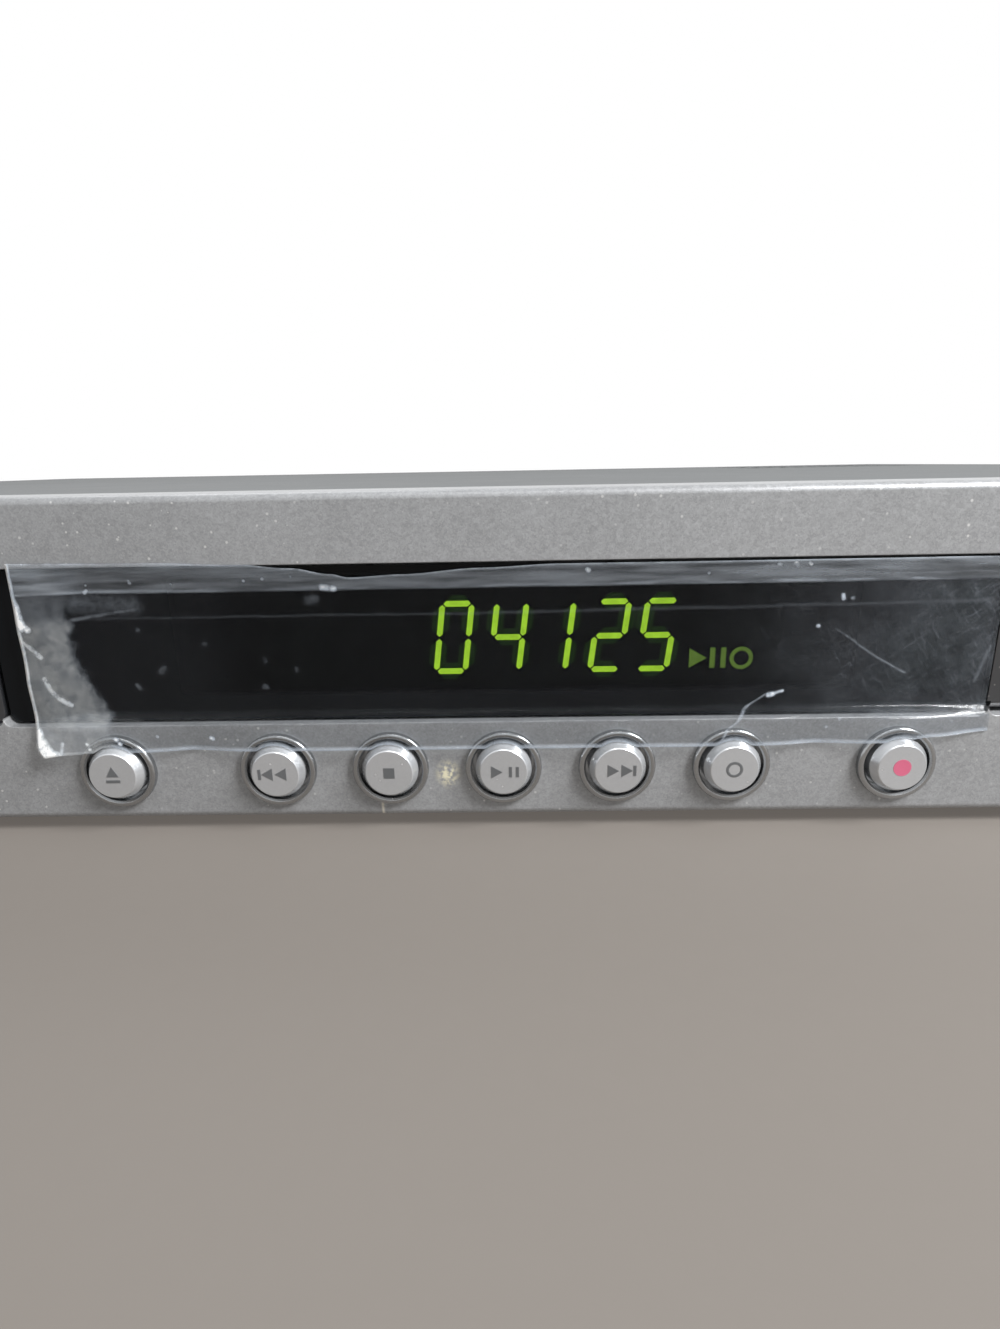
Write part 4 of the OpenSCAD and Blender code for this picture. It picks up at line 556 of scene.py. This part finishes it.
def clearFilm(name, v):
    material, tree, shader = blankMaterial(name)
    coord = put(tree, "TexCoord").outputs
    place = coord["Object"]
    axis = axesOf(tree, place)
    sheet = axesOf(tree, coord["UV"])
    cloud = noiseAt(tree, place, scale=60.0, detail=6.0, rough=0.65)
    mottle = noiseAt(tree, place, scale=520.0, rough=0.7)
    streak = noiseAt(tree, stretched(tree, place, (0.1, 1.0, 1.0)), scale=700.0, rough=0.6)
    # Milky band where the left end has lifted, widening downwards and thinner above the crease
    inner = straight(tree, axis["Z"], *v["bandUp"], *v["bandAcross"])
    inner = timesPlus(tree, minus(tree, mottle, 0.5), v["ragged"], inner)
    milky = ramp(tree, minus(tree, inner, axis["X"]), *v["bandFade"])
    milky = times(tree, milky, ramp(tree, mottle, 0.3, 0.7, start=v["band"] * 0.72,
                                    end=v["band"] * 1.25))
    topLow, topHigh, topShare = v["bandTop"]
    milky = times(tree, milky, ramp(tree, axis["Z"], topLow, topHigh, start=1.0, end=topShare))
    # Painted reflection on the strip above the crease, lighter to the right, and a painted
    # highlight along the crease
    crease = straight(tree, axis["X"], *v["creaseAcross"], *v["creaseUp"])
    above = minus(tree, axis["Z"], crease)
    sheenLevel = straight(tree, axis["X"], *v["sheenAcross"], *v["stripSheen"])
    stripSheen = times(tree, ramp(tree, above, -v["soft"], v["soft"]),
                  ramp(tree, streak, 0.3, 0.7, start=0.3, end=1.3))
    creaseGlint = ramp(tree, calc(tree, "ABSOLUTE", above), 0.0, v["creaseGlint"], 1.0, 0.0)
    creaseGlint = times(tree, creaseGlint, ramp(tree, streak, 0.35, 0.65, start=0.4, end=1.6))
    stripSheen = times(tree, larger(tree, stripSheen, creaseGlint), sheenLevel)
    mask = larger(tree, milky, stripSheen)
    # Painted highlights along the cut edges, brightest at the left end
    low = times(tree, ramp(tree, sheet["Y"], 0.0, v["low"][0], v["low"][1], 0.0),
                ramp(tree, mottle, 0.3, 0.6, start=0.7))
    brim = times(tree, ramp(tree, sheet["Y"], v["brim"][0], 1.0, 0.0, v["brim"][1]),
                 ramp(tree, mottle, 0.35, 0.6, start=0.2))
    end = times(tree, ramp(tree, sheet["X"], 0.0, v["end"][0], v["end"][1], 0.0),
                ramp(tree, mottle, 0.35, 0.6, start=0.6))
    edges = larger(tree, larger(tree, low, brim), end)
    mask = larger(tree, mask, edges)
    broken = ramp(tree, noiseAt(tree, place, scale=900.0, detail=3.0, rough=0.7), 0.35, 0.6,
                  start=0.45)
    # Mostly painted glints and painted crease highlights, with a few specks and a hair
    for x0, z0, x1, z1, width, strength in filmGlintsAndSpecks:
        line = maskOf(tree, "line", Start=(x0 * mm, 0, z0 * mm), End=(x1 * mm, 0, z1 * mm),
                      Width=width * mm, Wobble=v["wobble"])
        line = times(tree, line, broken)
        mask = larger(tree, mask, times(tree, line, strength))
    # Dust above the crease and at the right, with fine scratches and a faint cloudy lightening
    # growing to the right
    dust = maskOf(tree, "dust", Scale=v["dustScale"], Amount=v["dust"])
    scratch = maskOf(tree, "scratch", Scale=v["scratchScale"], Amount=v["scratch"])
    right = ramp(tree, axis["X"], *v["rightAcross"], start=v["rightLeast"])
    dusty = larger(tree, right, ramp(tree, above, -v["soft"], v["soft"]))
    dusty = times(tree, dust, times(tree, dusty, v["dustShare"]))
    mask = larger(tree, mask, dusty)
    hairs = times(tree, scratch, times(tree, right, v["scratchShare"]))
    mask = larger(tree, mask, hairs)
    rightCloud = ramp(tree, noiseAt(tree, place, scale=130.0, detail=8.0, rough=0.75), 0.3, 0.7,
                *v["rightCloud"])
    mask = calc(tree, "ADD", mask, times(tree, rightCloud, right))
    # The bluish tint is the milky haze and the painted reflection on the strip above the crease
    colour = blendColour(tree, ramp(tree, milky, 0.0, 0.2), opaque(v["hazeAndSheenTint"]), opaque(v["milk"]))
    # Near white where the painted glints, edge highlights and crease highlight are strong
    colour = blendColour(tree, ramp(tree, mask, 0.5, 0.95), colour, v["bright"])
    bump = bumpOf(tree, noiseAt(tree, place, scale=240.0), v["ripple"])
    rough = timesPlus(tree, cloud, v["roughSpread"], v["rough"])
    fill(tree, shader, {"Base Color": colour, "Roughness": rough, "Normal": bump})
    pane = clearPane(tree, v, v["clear"], {"Color": (1, 1, 1, 1), "Roughness": v["glossRough"],
                                           "Normal": bump})
    showInstead(tree, mixShaders(tree, mask, pane, shader.outputs[0]))
    return material


# Glass of the display tube with its fine grid
tubeValues = {"base": (0.010, 0.012, 0.013), "line": (0.014, 0.018, 0.015), "pitch": 0.0021,
              "lineShare": 0.3, "rough": 0.4, "lineRough": 0.1, "specular": 0.2}


def gridGlass(name, v):
    material, tree, shader = blankMaterial(name)
    place = objectPlace(tree)
    axis = axesOf(tree, place)
    lines = None
    for side in ("X", "Z"):
        wave = calc(tree, "PINGPONG", axis[side], v["pitch"])
        line = ramp(tree, wave, 0.0, v["pitch"] * v["lineShare"], 1.0, 0.0)
        lines = line if lines is None else larger(tree, lines, line)
    patchy = times(tree, lines, noiseAt(tree, place, scale=200.0))
    fill(tree, shader, {
        "Base Color": blendColour(tree, patchy, opaque(v["base"]), opaque(v["line"])),
        "Roughness": timesPlus(tree, lines, v["lineRough"], v["rough"]),
        "Specular IOR Level": v["specular"]})
    return material


# Lit phosphor, not quite even
def litSegments(name, colour, strength):
    material, tree, shader = blankMaterial(name)
    shade = ramp(tree, noiseAt(tree, objectPlace(tree), scale=900.0, detail=2.0), 0.2, 0.8,
                 start=0.75)
    fill(tree, shader, {"Emission Color": scaledVector(tree, colour, shade),
                        "Emission Strength": strength, "Base Color": (0.05, 0.08, 0.02, 1)})
    return material


def printedInk(name, colour):
    return makeFinish(name, {"base": colour, "rough": 0.5, "grainDepth": 0.000002, "wear": 0.0,
                             "dust": 0.05, "edge": 0.00002})


# Circuit boards: tracks as a brick pattern, with tinned pads
boardValues = {"trackStretch": (1.0, 1.7, 1.0), "trackScale": 240.0, "trackWidth": 0.12,
               "shade": 0.85, "padScale": 330.0, "pad": (0.6, 0.58, 0.5, 1), "padMetal": 0.8,
               "padDepth": 0.00005, "rough": 0.25, "roughSpread": 0.2}


def boardFinish(name, base, track, v):
    material, tree, shader = blankMaterial(name)
    place = objectPlace(tree)
    paths = put(tree, "TexBrick", {
        "Vector": stretched(tree, place, v["trackStretch"]), "Scale": v["trackScale"],
        "Mortar Size": v["trackWidth"], "Color1": opaque(base),
        "Color2": darker(base, v["shade"]), "Mortar": opaque(track)}).outputs["Color"]
    spots = put(tree, "TexVoronoi", {"Vector": place, "Scale": v["padScale"]}).outputs["Distance"]
    pads = ramp(tree, spots, 0.1, 0.14, 1.0, 0.0)
    fill(tree, shader, {
        "Base Color": blendColour(tree, pads, paths, v["pad"]),
        "Metallic": times(tree, pads, v["padMetal"]),
        "Roughness": timesPlus(tree, noiseAt(tree, place, scale=100.0), v["roughSpread"],
                               v["rough"]),
        "Normal": bumpOf(tree, pads, v["padDepth"])})
    return material


# Phono sockets: coloured collars round nickel barrels, by row and place in the row
collars = {
    "colours": {"yellow": (0.75, 0.55, 0.03), "white": (0.75, 0.75, 0.72),
                "red": (0.6, 0.03, 0.03), "green": (0.04, 0.35, 0.08), "blue": (0.03, 0.1, 0.5)},
    "hole": 0.0031, "barrel": 0.00425, "collar": 0.0057, "body": (0.03, 0.03, 0.031, 1),
    "nickel": (0.66, 0.65, 0.62, 1), "dust": 0.12, "dustShare": 0.4,
    "dustColour": (0.5, 0.5, 0.48, 1), "rough": 0.22, "roughSpread": 0.2, "grain": 1800.0,
    "grainDepth": 0.00001, "edge": 0.0003}
rearPhono = {**collars, "node": "phono_jacks", "inset": 0.007, "top": 0.008, "pitch": 0.015,
             "rowPitch": 0.018, "face": 0.1372,
             "rows": [("green", "blue", "red", "white", "red"),
                      ("yellow", "white", "red", "white", "red")]}
frontPhono = {**collars, "first": 0.1502, "height": 0.03275, "pitch": 0.015, "rowPitch": 0.2,
              "face": None, "rows": [("yellow", "white", "red")]}


def collarFinish(name, v):
    material, tree, shader = blankMaterial(name)
    if "node" in v:
        low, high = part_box(v["node"])
        firstX, lowRow = low.x + v["inset"], high.z - v["top"] - v["rowPitch"]
    else:
        firstX, lowRow = v["first"], v["height"]
    place = objectPlace(tree)
    axis = axesOf(tree, place)
    across = minus(tree, axis["X"], firstX)
    up = minus(tree, axis["Z"], lowRow)
    localX = calc(tree, "WRAP", across, v["pitch"] / 2, -v["pitch"] / 2)
    localZ = calc(tree, "WRAP", up, v["rowPitch"] / 2, -v["rowPitch"] / 2)
    squares = calc(tree, "ADD", times(tree, localX, localX), times(tree, localZ, localZ))
    radius = calc(tree, "SQRT", squares)
    colour = None
    for number, names in enumerate(v["rows"]):
        band = opaque(v["colours"][names[0]])
        for column, label in enumerate(names[1:], 1):
            past = calc(tree, "GREATER_THAN", across, (column - 0.5) * v["pitch"])
            band = blendColour(tree, past, band, opaque(v["colours"][label]))
        above = calc(tree, "GREATER_THAN", up, (number - 0.5) * v["rowPitch"])
        colour = band if colour is None else blendColour(tree, above, colour, band)
    barrel = times(tree, calc(tree, "GREATER_THAN", radius, v["hole"]),
                   calc(tree, "LESS_THAN", radius, v["barrel"]))
    part = calc(tree, "LESS_THAN", radius, v["collar"])
    if v["face"]:
        part = times(tree, part, calc(tree, "GREATER_THAN", axis["Y"], v["face"]))
    metal = times(tree, barrel, part)
    colour = blendColour(tree, part, v["body"], colour)
    colour = blendColour(tree, metal, colour, v["nickel"])
    dust = maskOf(tree, "dust", Amount=v["dust"])
    colour = tinted(tree, v, "dust", dust, colour)
    height = useGroup(tree, "grain", Scale=v["grain"])["Height"]
    fill(tree, shader, {
        "Base Color": colour, "Metallic": metal,
        "Roughness": timesPlus(tree, noiseAt(tree, place, scale=300.0), v["roughSpread"],
                               v["rough"]),
        "Normal": bumpOf(tree, height, v["grainDepth"], v["edge"])})
    return material


boards = {"board_green": ((0.02, 0.13, 0.05), (0.015, 0.09, 0.035)),
          "power_board_tan": ((0.42, 0.27, 0.1), (0.5, 0.34, 0.16))}
# The last entry is a painted glow: dim green light on wider bars round the numerals
litColours = {"digits_green": ((0.36, 0.60, 0.03), 4.4), "digits_dim": ((0.26, 0.42, 0.06), 1.5),
              "digits_painted_glow": ((0.011, 0.042, 0.003), 1.2)}
materials = {name: makeFinish(name, values) for name, values in finishes.items()}
materials["phono_mixed"] = collarFinish("phono_mixed", rearPhono)
materials["jack_mixed"] = collarFinish("jack_mixed", frontPhono)
materials["bezel_silver"] = bezelLacquer("bezel_silver", lacquer)
materials["window_smoke"] = smokedWindow("window_smoke", windowValues)
materials["film_clear"] = clearFilm("film_clear", filmLook)
materials["tube_glass"] = gridGlass("tube_glass", tubeValues)
for name, (colour, strength) in litColours.items():
    materials[name] = litSegments(name, colour, strength)
for name, (base, track) in boards.items():
    materials[name] = boardFinish(name, base, track, boardValues)
inkGrey = printedInk("inkGrey", (0.13, 0.135, 0.14))
inkRed = printedInk("inkRed", (0.66, 0.14, 0.24))

for name, node in nodes.items():
    for spot in node.material_slots:
        label = spot.material.name.split(".")[0]
        if label in materials:
            spot.material = materials[label]
        else:
            print("no finish for", name, label)
print("finishes on", len(nodes), "nodes")


# Pieces made here
def keepPiece(piece, name, material, body):
    piece.name = piece.data.name = name
    piece.data.materials.clear()
    piece.data.materials.append(material)
    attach(piece, body)
    return piece


def applyModifiers(piece):
    selectOnly([piece])
    for modifier in list(piece.modifiers):
        bpy.ops.object.modifier_apply(modifier=modifier.name)


def joinPieces(pieces):
    selectOnly(pieces)
    bpy.ops.object.join()
    return bpy.context.object


def middleOf(node):
    low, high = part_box(node)
    return (low.x + high.x) / 2, (low.z + high.z) / 2


def upright(piece):
    piece.data.transform(Matrix.Rotation(math.radians(90), 4, "X"))
    return piece


# Flat shapes that lie in XY until they are set upright
def plate(sides, radius, thick, turn=0):
    bpy.ops.mesh.primitive_cylinder_add(vertices=sides, radius=radius, depth=thick)
    piece = bpy.context.object
    piece.data.transform(Matrix.Rotation(math.radians(turn), 4, "Z"))
    return piece


def ringPlate(major, minor, thick):
    bpy.ops.mesh.primitive_torus_add(major_radius=major, minor_radius=minor, major_segments=40,
                                     minor_segments=6)
    piece = bpy.context.object
    for vertex in piece.data.vertices:
        vertex.co.z *= thick / (2 * minor)
    return piece


def slab(wide, tall, thick, across=0.0):
    bpy.ops.mesh.primitive_cube_add(size=1)
    piece = bpy.context.object
    piece.data.transform(Matrix.Translation((across, 0, 0)) @ Matrix.Diagonal(
        (wide, tall, thick, 1)))
    return piece


# Protective film: clear plastic left on the window, lifted at its left end
film = {
    "across": 320, "up": 76, "thick": 0.00012, "left": -0.0565, "right": 0.1006,
    "topLine": [(-0.06, 0.0469), (-0.034, 0.0466), (-0.020, 0.0461), (-0.012, 0.0454),
                (-0.0056, 0.0443), (-0.0030, 0.0437), (0.0054, 0.0441), (0.0179, 0.0450),
                (0.0304, 0.0455), (0.103, 0.0456)],
    "lowLine": [(-0.06, 0.0146), (-0.052, 0.0150), (-0.047, 0.0153), (0.07, 0.0153),
                (0.084, 0.0155), (0.0915, 0.0164), (0.103, 0.0170)],
    "crease": 0.0420, "edge": 0.0460, "foot": (0.0194, 0.0214), "air": 0.0003,
    "windowAir": 0.0001, "capRadius": 0.0048, "rimLift": 0.0012, "rimReach": (0.0062, 0.0150),
    "ripple": (60, 3.1, 90), "rippleHeight": 0.00022, "liftLength": 0.012, "liftShare": 0.85,
    "lift": 0.0006, "curl": (260, 1.7, 200), "curlHeight": 0.0003, "cornerReach": 0.005,
    "cornerLift": 0.0014, "turnHeight": 0.0024, "turnShift": 0.0016, "turnShare": 0.03,
    "mostOut": 0.0024}
coveredButtons = ("eject", "previous", "stop", "play_pause", "next", "repeat", "record")


def along(points, x):
    for (x0, z0), (x1, z1) in zip(points, points[1:]):
        if x <= x1:
            share = max(0.0, (x - x0) / (x1 - x0))
            return z0 + (z1 - z0) * share * share * (3 - 2 * share)
    return points[-1][1]


def eased(value, low, high):
    share = min(1.0, max(0.0, (value - low) / (high - low)))
    return share * share * (3 - 2 * share)


def wavesAt(x, z, waves):
    return noise.noise(Vector((x * waves[0], waves[1], z * waves[2])))


def filmPoint(share, rise, v, rims, facePlane, windowPlane):
    x = v["left"] + (v["right"] - v["left"]) * share
    top = along(v["topLine"], x)
    bottom = along(v["lowLine"], x)
    # The lower edge passes over the caps
    for rimX, rimZ in rims:
        if abs(x - rimX) < v["capRadius"]:
            reach = math.sqrt(v["capRadius"] ** 2 - (x - rimX) ** 2)
            bottom = max(bottom, rimZ + reach)
    z = bottom + (top - bottom) * rise
    # It lies over the lower silver band and on the window, and slopes out above the crease
    onWindow = eased(z, *v["foot"])
    sloping = min(1.0, max(0.0, (z - v["crease"]) / (v["edge"] - v["crease"])))
    lifted = 1 - eased(x, v["left"], v["left"] + v["liftLength"])
    depth = onWindow * (1 - sloping) * (1 - v["liftShare"] * lifted)
    y = facePlane - v["air"] + (windowPlane - facePlane + v["windowAir"]) * depth
    y += wavesAt(x, z, v["ripple"]) * v["rippleHeight"] * (1 - 0.5 * depth)
    # It rises over the rims, and curls at the left end and its lower corner
    for rimX, rimZ in rims:
        gap = math.hypot(x - rimX, z - rimZ)
        y -= v["rimLift"] * (1 - eased(gap, *v["rimReach"])) * (1 - onWindow)
    curl = v["lift"] + wavesAt(x, z, v["curl"]) * v["curlHeight"]
    y -= curl * lifted * (1 - 0.5 * sloping)
    cornerZ = v["lowLine"][0][1]
    corner = math.hypot(x - v["left"], z - cornerZ)
    y -= v["cornerLift"] * max(0.0, 1 - corner / v["cornerReach"])
    turned = max(0.0, 1 - (z - cornerZ) / v["turnHeight"]) ** 2
    x += v["turnShift"] * turned * (1 - min(1.0, share / v["turnShare"]))
    return x, max(y, facePlane - v["mostOut"]), z


def makeFilm(v):
    bpy.ops.mesh.primitive_grid_add(x_subdivisions=v["across"], y_subdivisions=v["up"], size=1)
    piece = bpy.context.object
    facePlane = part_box("front_bezel")[0].y
    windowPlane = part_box("display_window")[0].y
    rims = [middleOf(button + "_button") for button in coveredButtons]
    for vertex in piece.data.vertices:
        vertex.co = filmPoint(vertex.co.x + 0.5, vertex.co.y + 0.5, v, rims, facePlane,
                              windowPlane)
    gauge = piece.modifiers.new("gauge", "SOLIDIFY")
    gauge.thickness = v["thick"]
    gauge.offset = 0
    applyModifiers(piece)
    for polygon in piece.data.polygons:
        polygon.use_smooth = True
    keepPiece(piece, "dustFilm", materials["film_clear"], "housing")
    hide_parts("protective_film")


makeFilm(film)
print("film made")


# Numerals and symbols of the display, and a painted glow round the numerals
display = {
    "slant": 0.125, "height": 0.0115, "width": 0.00485, "bar": 0.00094, "halo": 0.0028,
    "glowBehind": 0.6, "thick": 0.0002, "base": 0.0271, "gap": 0.00022, "shoulder": 0.42,
    "digits": [("0", 0.0100), ("4", 0.0190), ("1", 0.02675), ("2", 0.0358), ("5", 0.0437)],
    "segments": {"0": "abcdef", "1": "bc", "2": "abged", "4": "fgbc", "5": "afgcd"},
    "triangle": (0.0533, 0.0288, 0.0019), "bars": (0.0571, 0.0288, 0.0034),
    "barWidth": 0.0008, "barApart": 0.0009, "ring": (0.0610, 0.0287, 0.0016),
    "ringWidth": 0.00034}


# A six-sided bar: two points on its axis and four shoulders
def makeBar(start, end, width, y, v):
    bpy.ops.mesh.primitive_cylinder_add(vertices=6, radius=1, depth=1)
    bar = bpy.context.object
    run = Vector((end[0] - start[0], 0, end[1] - start[1]))
    half = run.length / 2 - v["gap"]
    side = run.normalized().cross(Vector((0, 1, 0)))
    middle = Vector(((start[0] + end[0]) / 2, y, (start[1] + end[1]) / 2))
    for vertex in bar.data.vertices:
        onAxis = abs(vertex.co.x) < 0.1
        reach = math.copysign(half if onAxis else half - width * v["shoulder"], vertex.co.y)
        out = 0.0 if onAxis else math.copysign(width / 2, vertex.co.x)
        across = Vector((0, vertex.co.z * v["thick"], 0))
        vertex.co = middle + run.normalized() * reach + side * out + across
    return bar


def makeBars(v, width, front):
    w, h = v["width"], v["height"]
    ends = {"a": ((0, h), (w, h)), "b": ((w, h), (w, h / 2)), "c": ((w, h / 2), (w, 0)),
            "d": ((0, 0), (w, 0)), "e": ((0, 0), (0, h / 2)), "f": ((0, h / 2), (0, h)),
            "g": ((0, h / 2), (w, h / 2))}
    bars = []
    for digit, left in v["digits"]:
        for segment in v["segments"][digit]:
            start, end = [(left + x, v["base"] + z) for x, z in ends[segment]]
            bars.append(makeBar(start, end, width, front, v))
    piece = joinPieces(bars)
    for vertex in piece.data.vertices:
        vertex.co.x += (vertex.co.z - v["base"]) * v["slant"]
    return piece


def makeSymbols(v, front):
    thick = v["thick"]
    placed = [(plate(3, v["triangle"][2], thick, turn=-90), v["triangle"]),
              (slab(v["barWidth"], v["bars"][2], thick, across=-v["barApart"]), v["bars"]),
              (slab(v["barWidth"], v["bars"][2], thick, across=v["barApart"]), v["bars"]),
              (ringPlate(v["ring"][2], v["ringWidth"], 2 * v["ringWidth"]), v["ring"])]
    for shape, (x, z, size) in placed:
        upright(shape).data.transform(Matrix.Translation((x, front, z)))
    return joinPieces([shape for shape, spot in placed])


def makeDisplay(v):
    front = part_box("display_tube")[0].y - v["thick"]
    behind = front + v["thick"] * v["glowBehind"]
    for piece, name, look in (
            # First piece: a painted glow, wider bars set just behind the numerals
            (makeBars(v, v["halo"], behind), "numeralPaintedGlow", "digits_painted_glow"),
            (makeBars(v, v["bar"], front), "litNumerals", "digits_green"),
            (makeSymbols(v, front), "dimSymbols", "digits_dim")):
        keepPiece(piece, name, materials[look], "housing")
        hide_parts("display_digits")


makeDisplay(display)
print("numerals made")


# Printed marks on the buttons; each is a list of shapes: kind, across, up, scale
marks = {
    "size": 0.0023, "thick": 0.00004, "step": 0.62, "sunk": 0.4, "triangle": 0.62,
    "ring": (0.6, 0.12), "disc": 0.75, "discSides": 40,
    "turns": {"up": 0, "left": 90, "right": -90},
    "slabs": {"bar": (0.28, 1.0), "dash": (1.15, 0.25), "square": (1.15, 1.15)},
    "symbols": {
        "eject": [("up", 0, 0.2, 0.86), ("dash", 0, -0.42, 0.9)],
        "previous": [("bar", -1.85, 0, 0.8), ("left", -0.75, 0, 0.9), ("left", 0.85, 0, 0.9)],
        "stop": [("square", 0, 0, 0.7)],
        "play_pause": [("right", -1.0, 0, 0.9), ("bar", 0.8, 0, 0.8), ("bar", 1.6, 0, 0.8)],
        "next": [("right", -0.85, 0, 0.9), ("right", 0.75, 0, 0.9), ("bar", 1.85, 0, 0.8)],
        "repeat": [("ring", 0, 0, 0.84)],
        "record": [("disc", 0, 0, 0.84)],
        "power": [("ring", 0, -0.1, 0.8), ("bar", 0, 0.8, 0.9)]}}


def markShape(kind, scale, v):
    size = v["size"] * scale
    if kind in v["turns"]:
        return upright(plate(3, size * v["triangle"], v["thick"], turn=v["turns"][kind]))
    if kind == "ring":
        major, minor = v["ring"]
        return upright(ringPlate(size * major, size * minor, v["thick"]))
    if kind == "disc":
        return upright(plate(v["discSides"], size * v["disc"], v["thick"]))
    wide, tall = v["slabs"][kind]
    return upright(slab(wide * size, tall * size, v["thick"]))


def makeMarks(v):
    for button, shapes in v["symbols"].items():
        middleX, middleZ = middleOf(button + "_button")
        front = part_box(button + "_button")[0].y - v["thick"] * v["sunk"]
        parts = []
        for kind, across, up, scale in shapes:
            part = markShape(kind, scale, v)
            part.data.transform(Matrix.Translation((
                middleX + across * v["size"] * v["step"], front, middleZ + up * v["size"])))
            parts.append(part)
        piece = joinPieces(parts) if len(parts) > 1 else parts[0]
        keepPiece(piece, button + "Mark", inkRed if button == "record" else inkGrey,
                  button + "_button")


makeMarks(marks)
print("marks made")


# Table, white surroundings and lamps
stageValues = {"floor": (0.255, 0.232, 0.21), "shade": 0.96, "grain": 300.0, "rough": 0.6,
               "pale": (0.27, 0.243, 0.22), "share": 0.45, "reach": 5.0, "room": 0.15,
               "roomTint": (0.94, 0.97, 1.0, 1)}
lamps = [  # name, place, aimed at, width, height, watts
    ("windowLamp", (0.54, -0.42, 0.53), (0.05, -0.14, 0.03), 0.3, 0.25, 10.5),
    ("edgeLamp", (0.05, -0.62, 1.0), (0.03, -0.14, 0.05), 0.6, 0.2, 1.3),
    ("frontLamp", (0.0, -1.2, 0.62), (0.0, -0.14, 0.0), 1.0, 0.25, 0.6),
    ("rearLamp", (-0.5, 0.7, 1.2), (0.0, 0.1, 0.0), 0.8, 0.5, 3.5)]


def seenDirectly(tree):
    path = put(tree, "LightPath").outputs
    mirrored = larger(tree, path["Is Glossy Ray"], path["Is Transmission Ray"])
    return larger(tree, path["Is Camera Ray"], mirrored)


def makeTable(v):
    bpy.ops.mesh.primitive_plane_add(size=v["reach"])
    table = bpy.context.object
    table.name = "floor"
    material, tree, shader = blankMaterial("floorPaint")
    grain = noiseAt(tree, objectPlace(tree), v["grain"], detail=5.0)
    colour = blendColour(tree, grain, darker(v["floor"], v["shade"]), opaque(v["floor"]))
    fill(tree, shader, {"Base Color": colour, "Roughness": v["rough"]})
    pale = put(tree, "Emission", {"Color": opaque(v["pale"]), "Strength": 1.0}).outputs[0]
    share = times(tree, seenDirectly(tree), v["share"])
    showInstead(tree, mixShaders(tree, share, shader.outputs[0], pale))
    table.data.materials.append(material)


def makeRoom(v):
    world = bpy.data.worlds.new("room")
    bpy.context.scene.world = world
    world.use_nodes = True
    tree = world.node_tree
    tree.nodes.clear()
    room = put(tree, "Background", {"Color": v["roomTint"], "Strength": v["room"]}).outputs[0]
    white = put(tree, "Background", {"Color": (1, 1, 1, 1), "Strength": 1.0}).outputs[0]
    both = mixShaders(tree, seenDirectly(tree), room, white)
    tree.links.new(both, put(tree, "OutputWorld").inputs[0])


def makeLamps():
    for name, place, aim, width, height, watts in lamps:
        data = bpy.data.lights.new(name, "AREA")
        data.shape = "RECTANGLE"
        data.size, data.size_y, data.energy = width, height, watts
        lamp = bpy.data.objects.new(name, data)
        lamp.rotation_euler = (Vector(place) - Vector(aim)).to_track_quat("Z", "Y").to_euler()
        lamp.location = place
        bpy.context.scene.collection.objects.link(lamp)


makeTable(stageValues)
makeRoom(stageValues)
makeLamps()
bpy.context.scene.view_settings.view_transform = "Standard"
print("stage and lamps set")
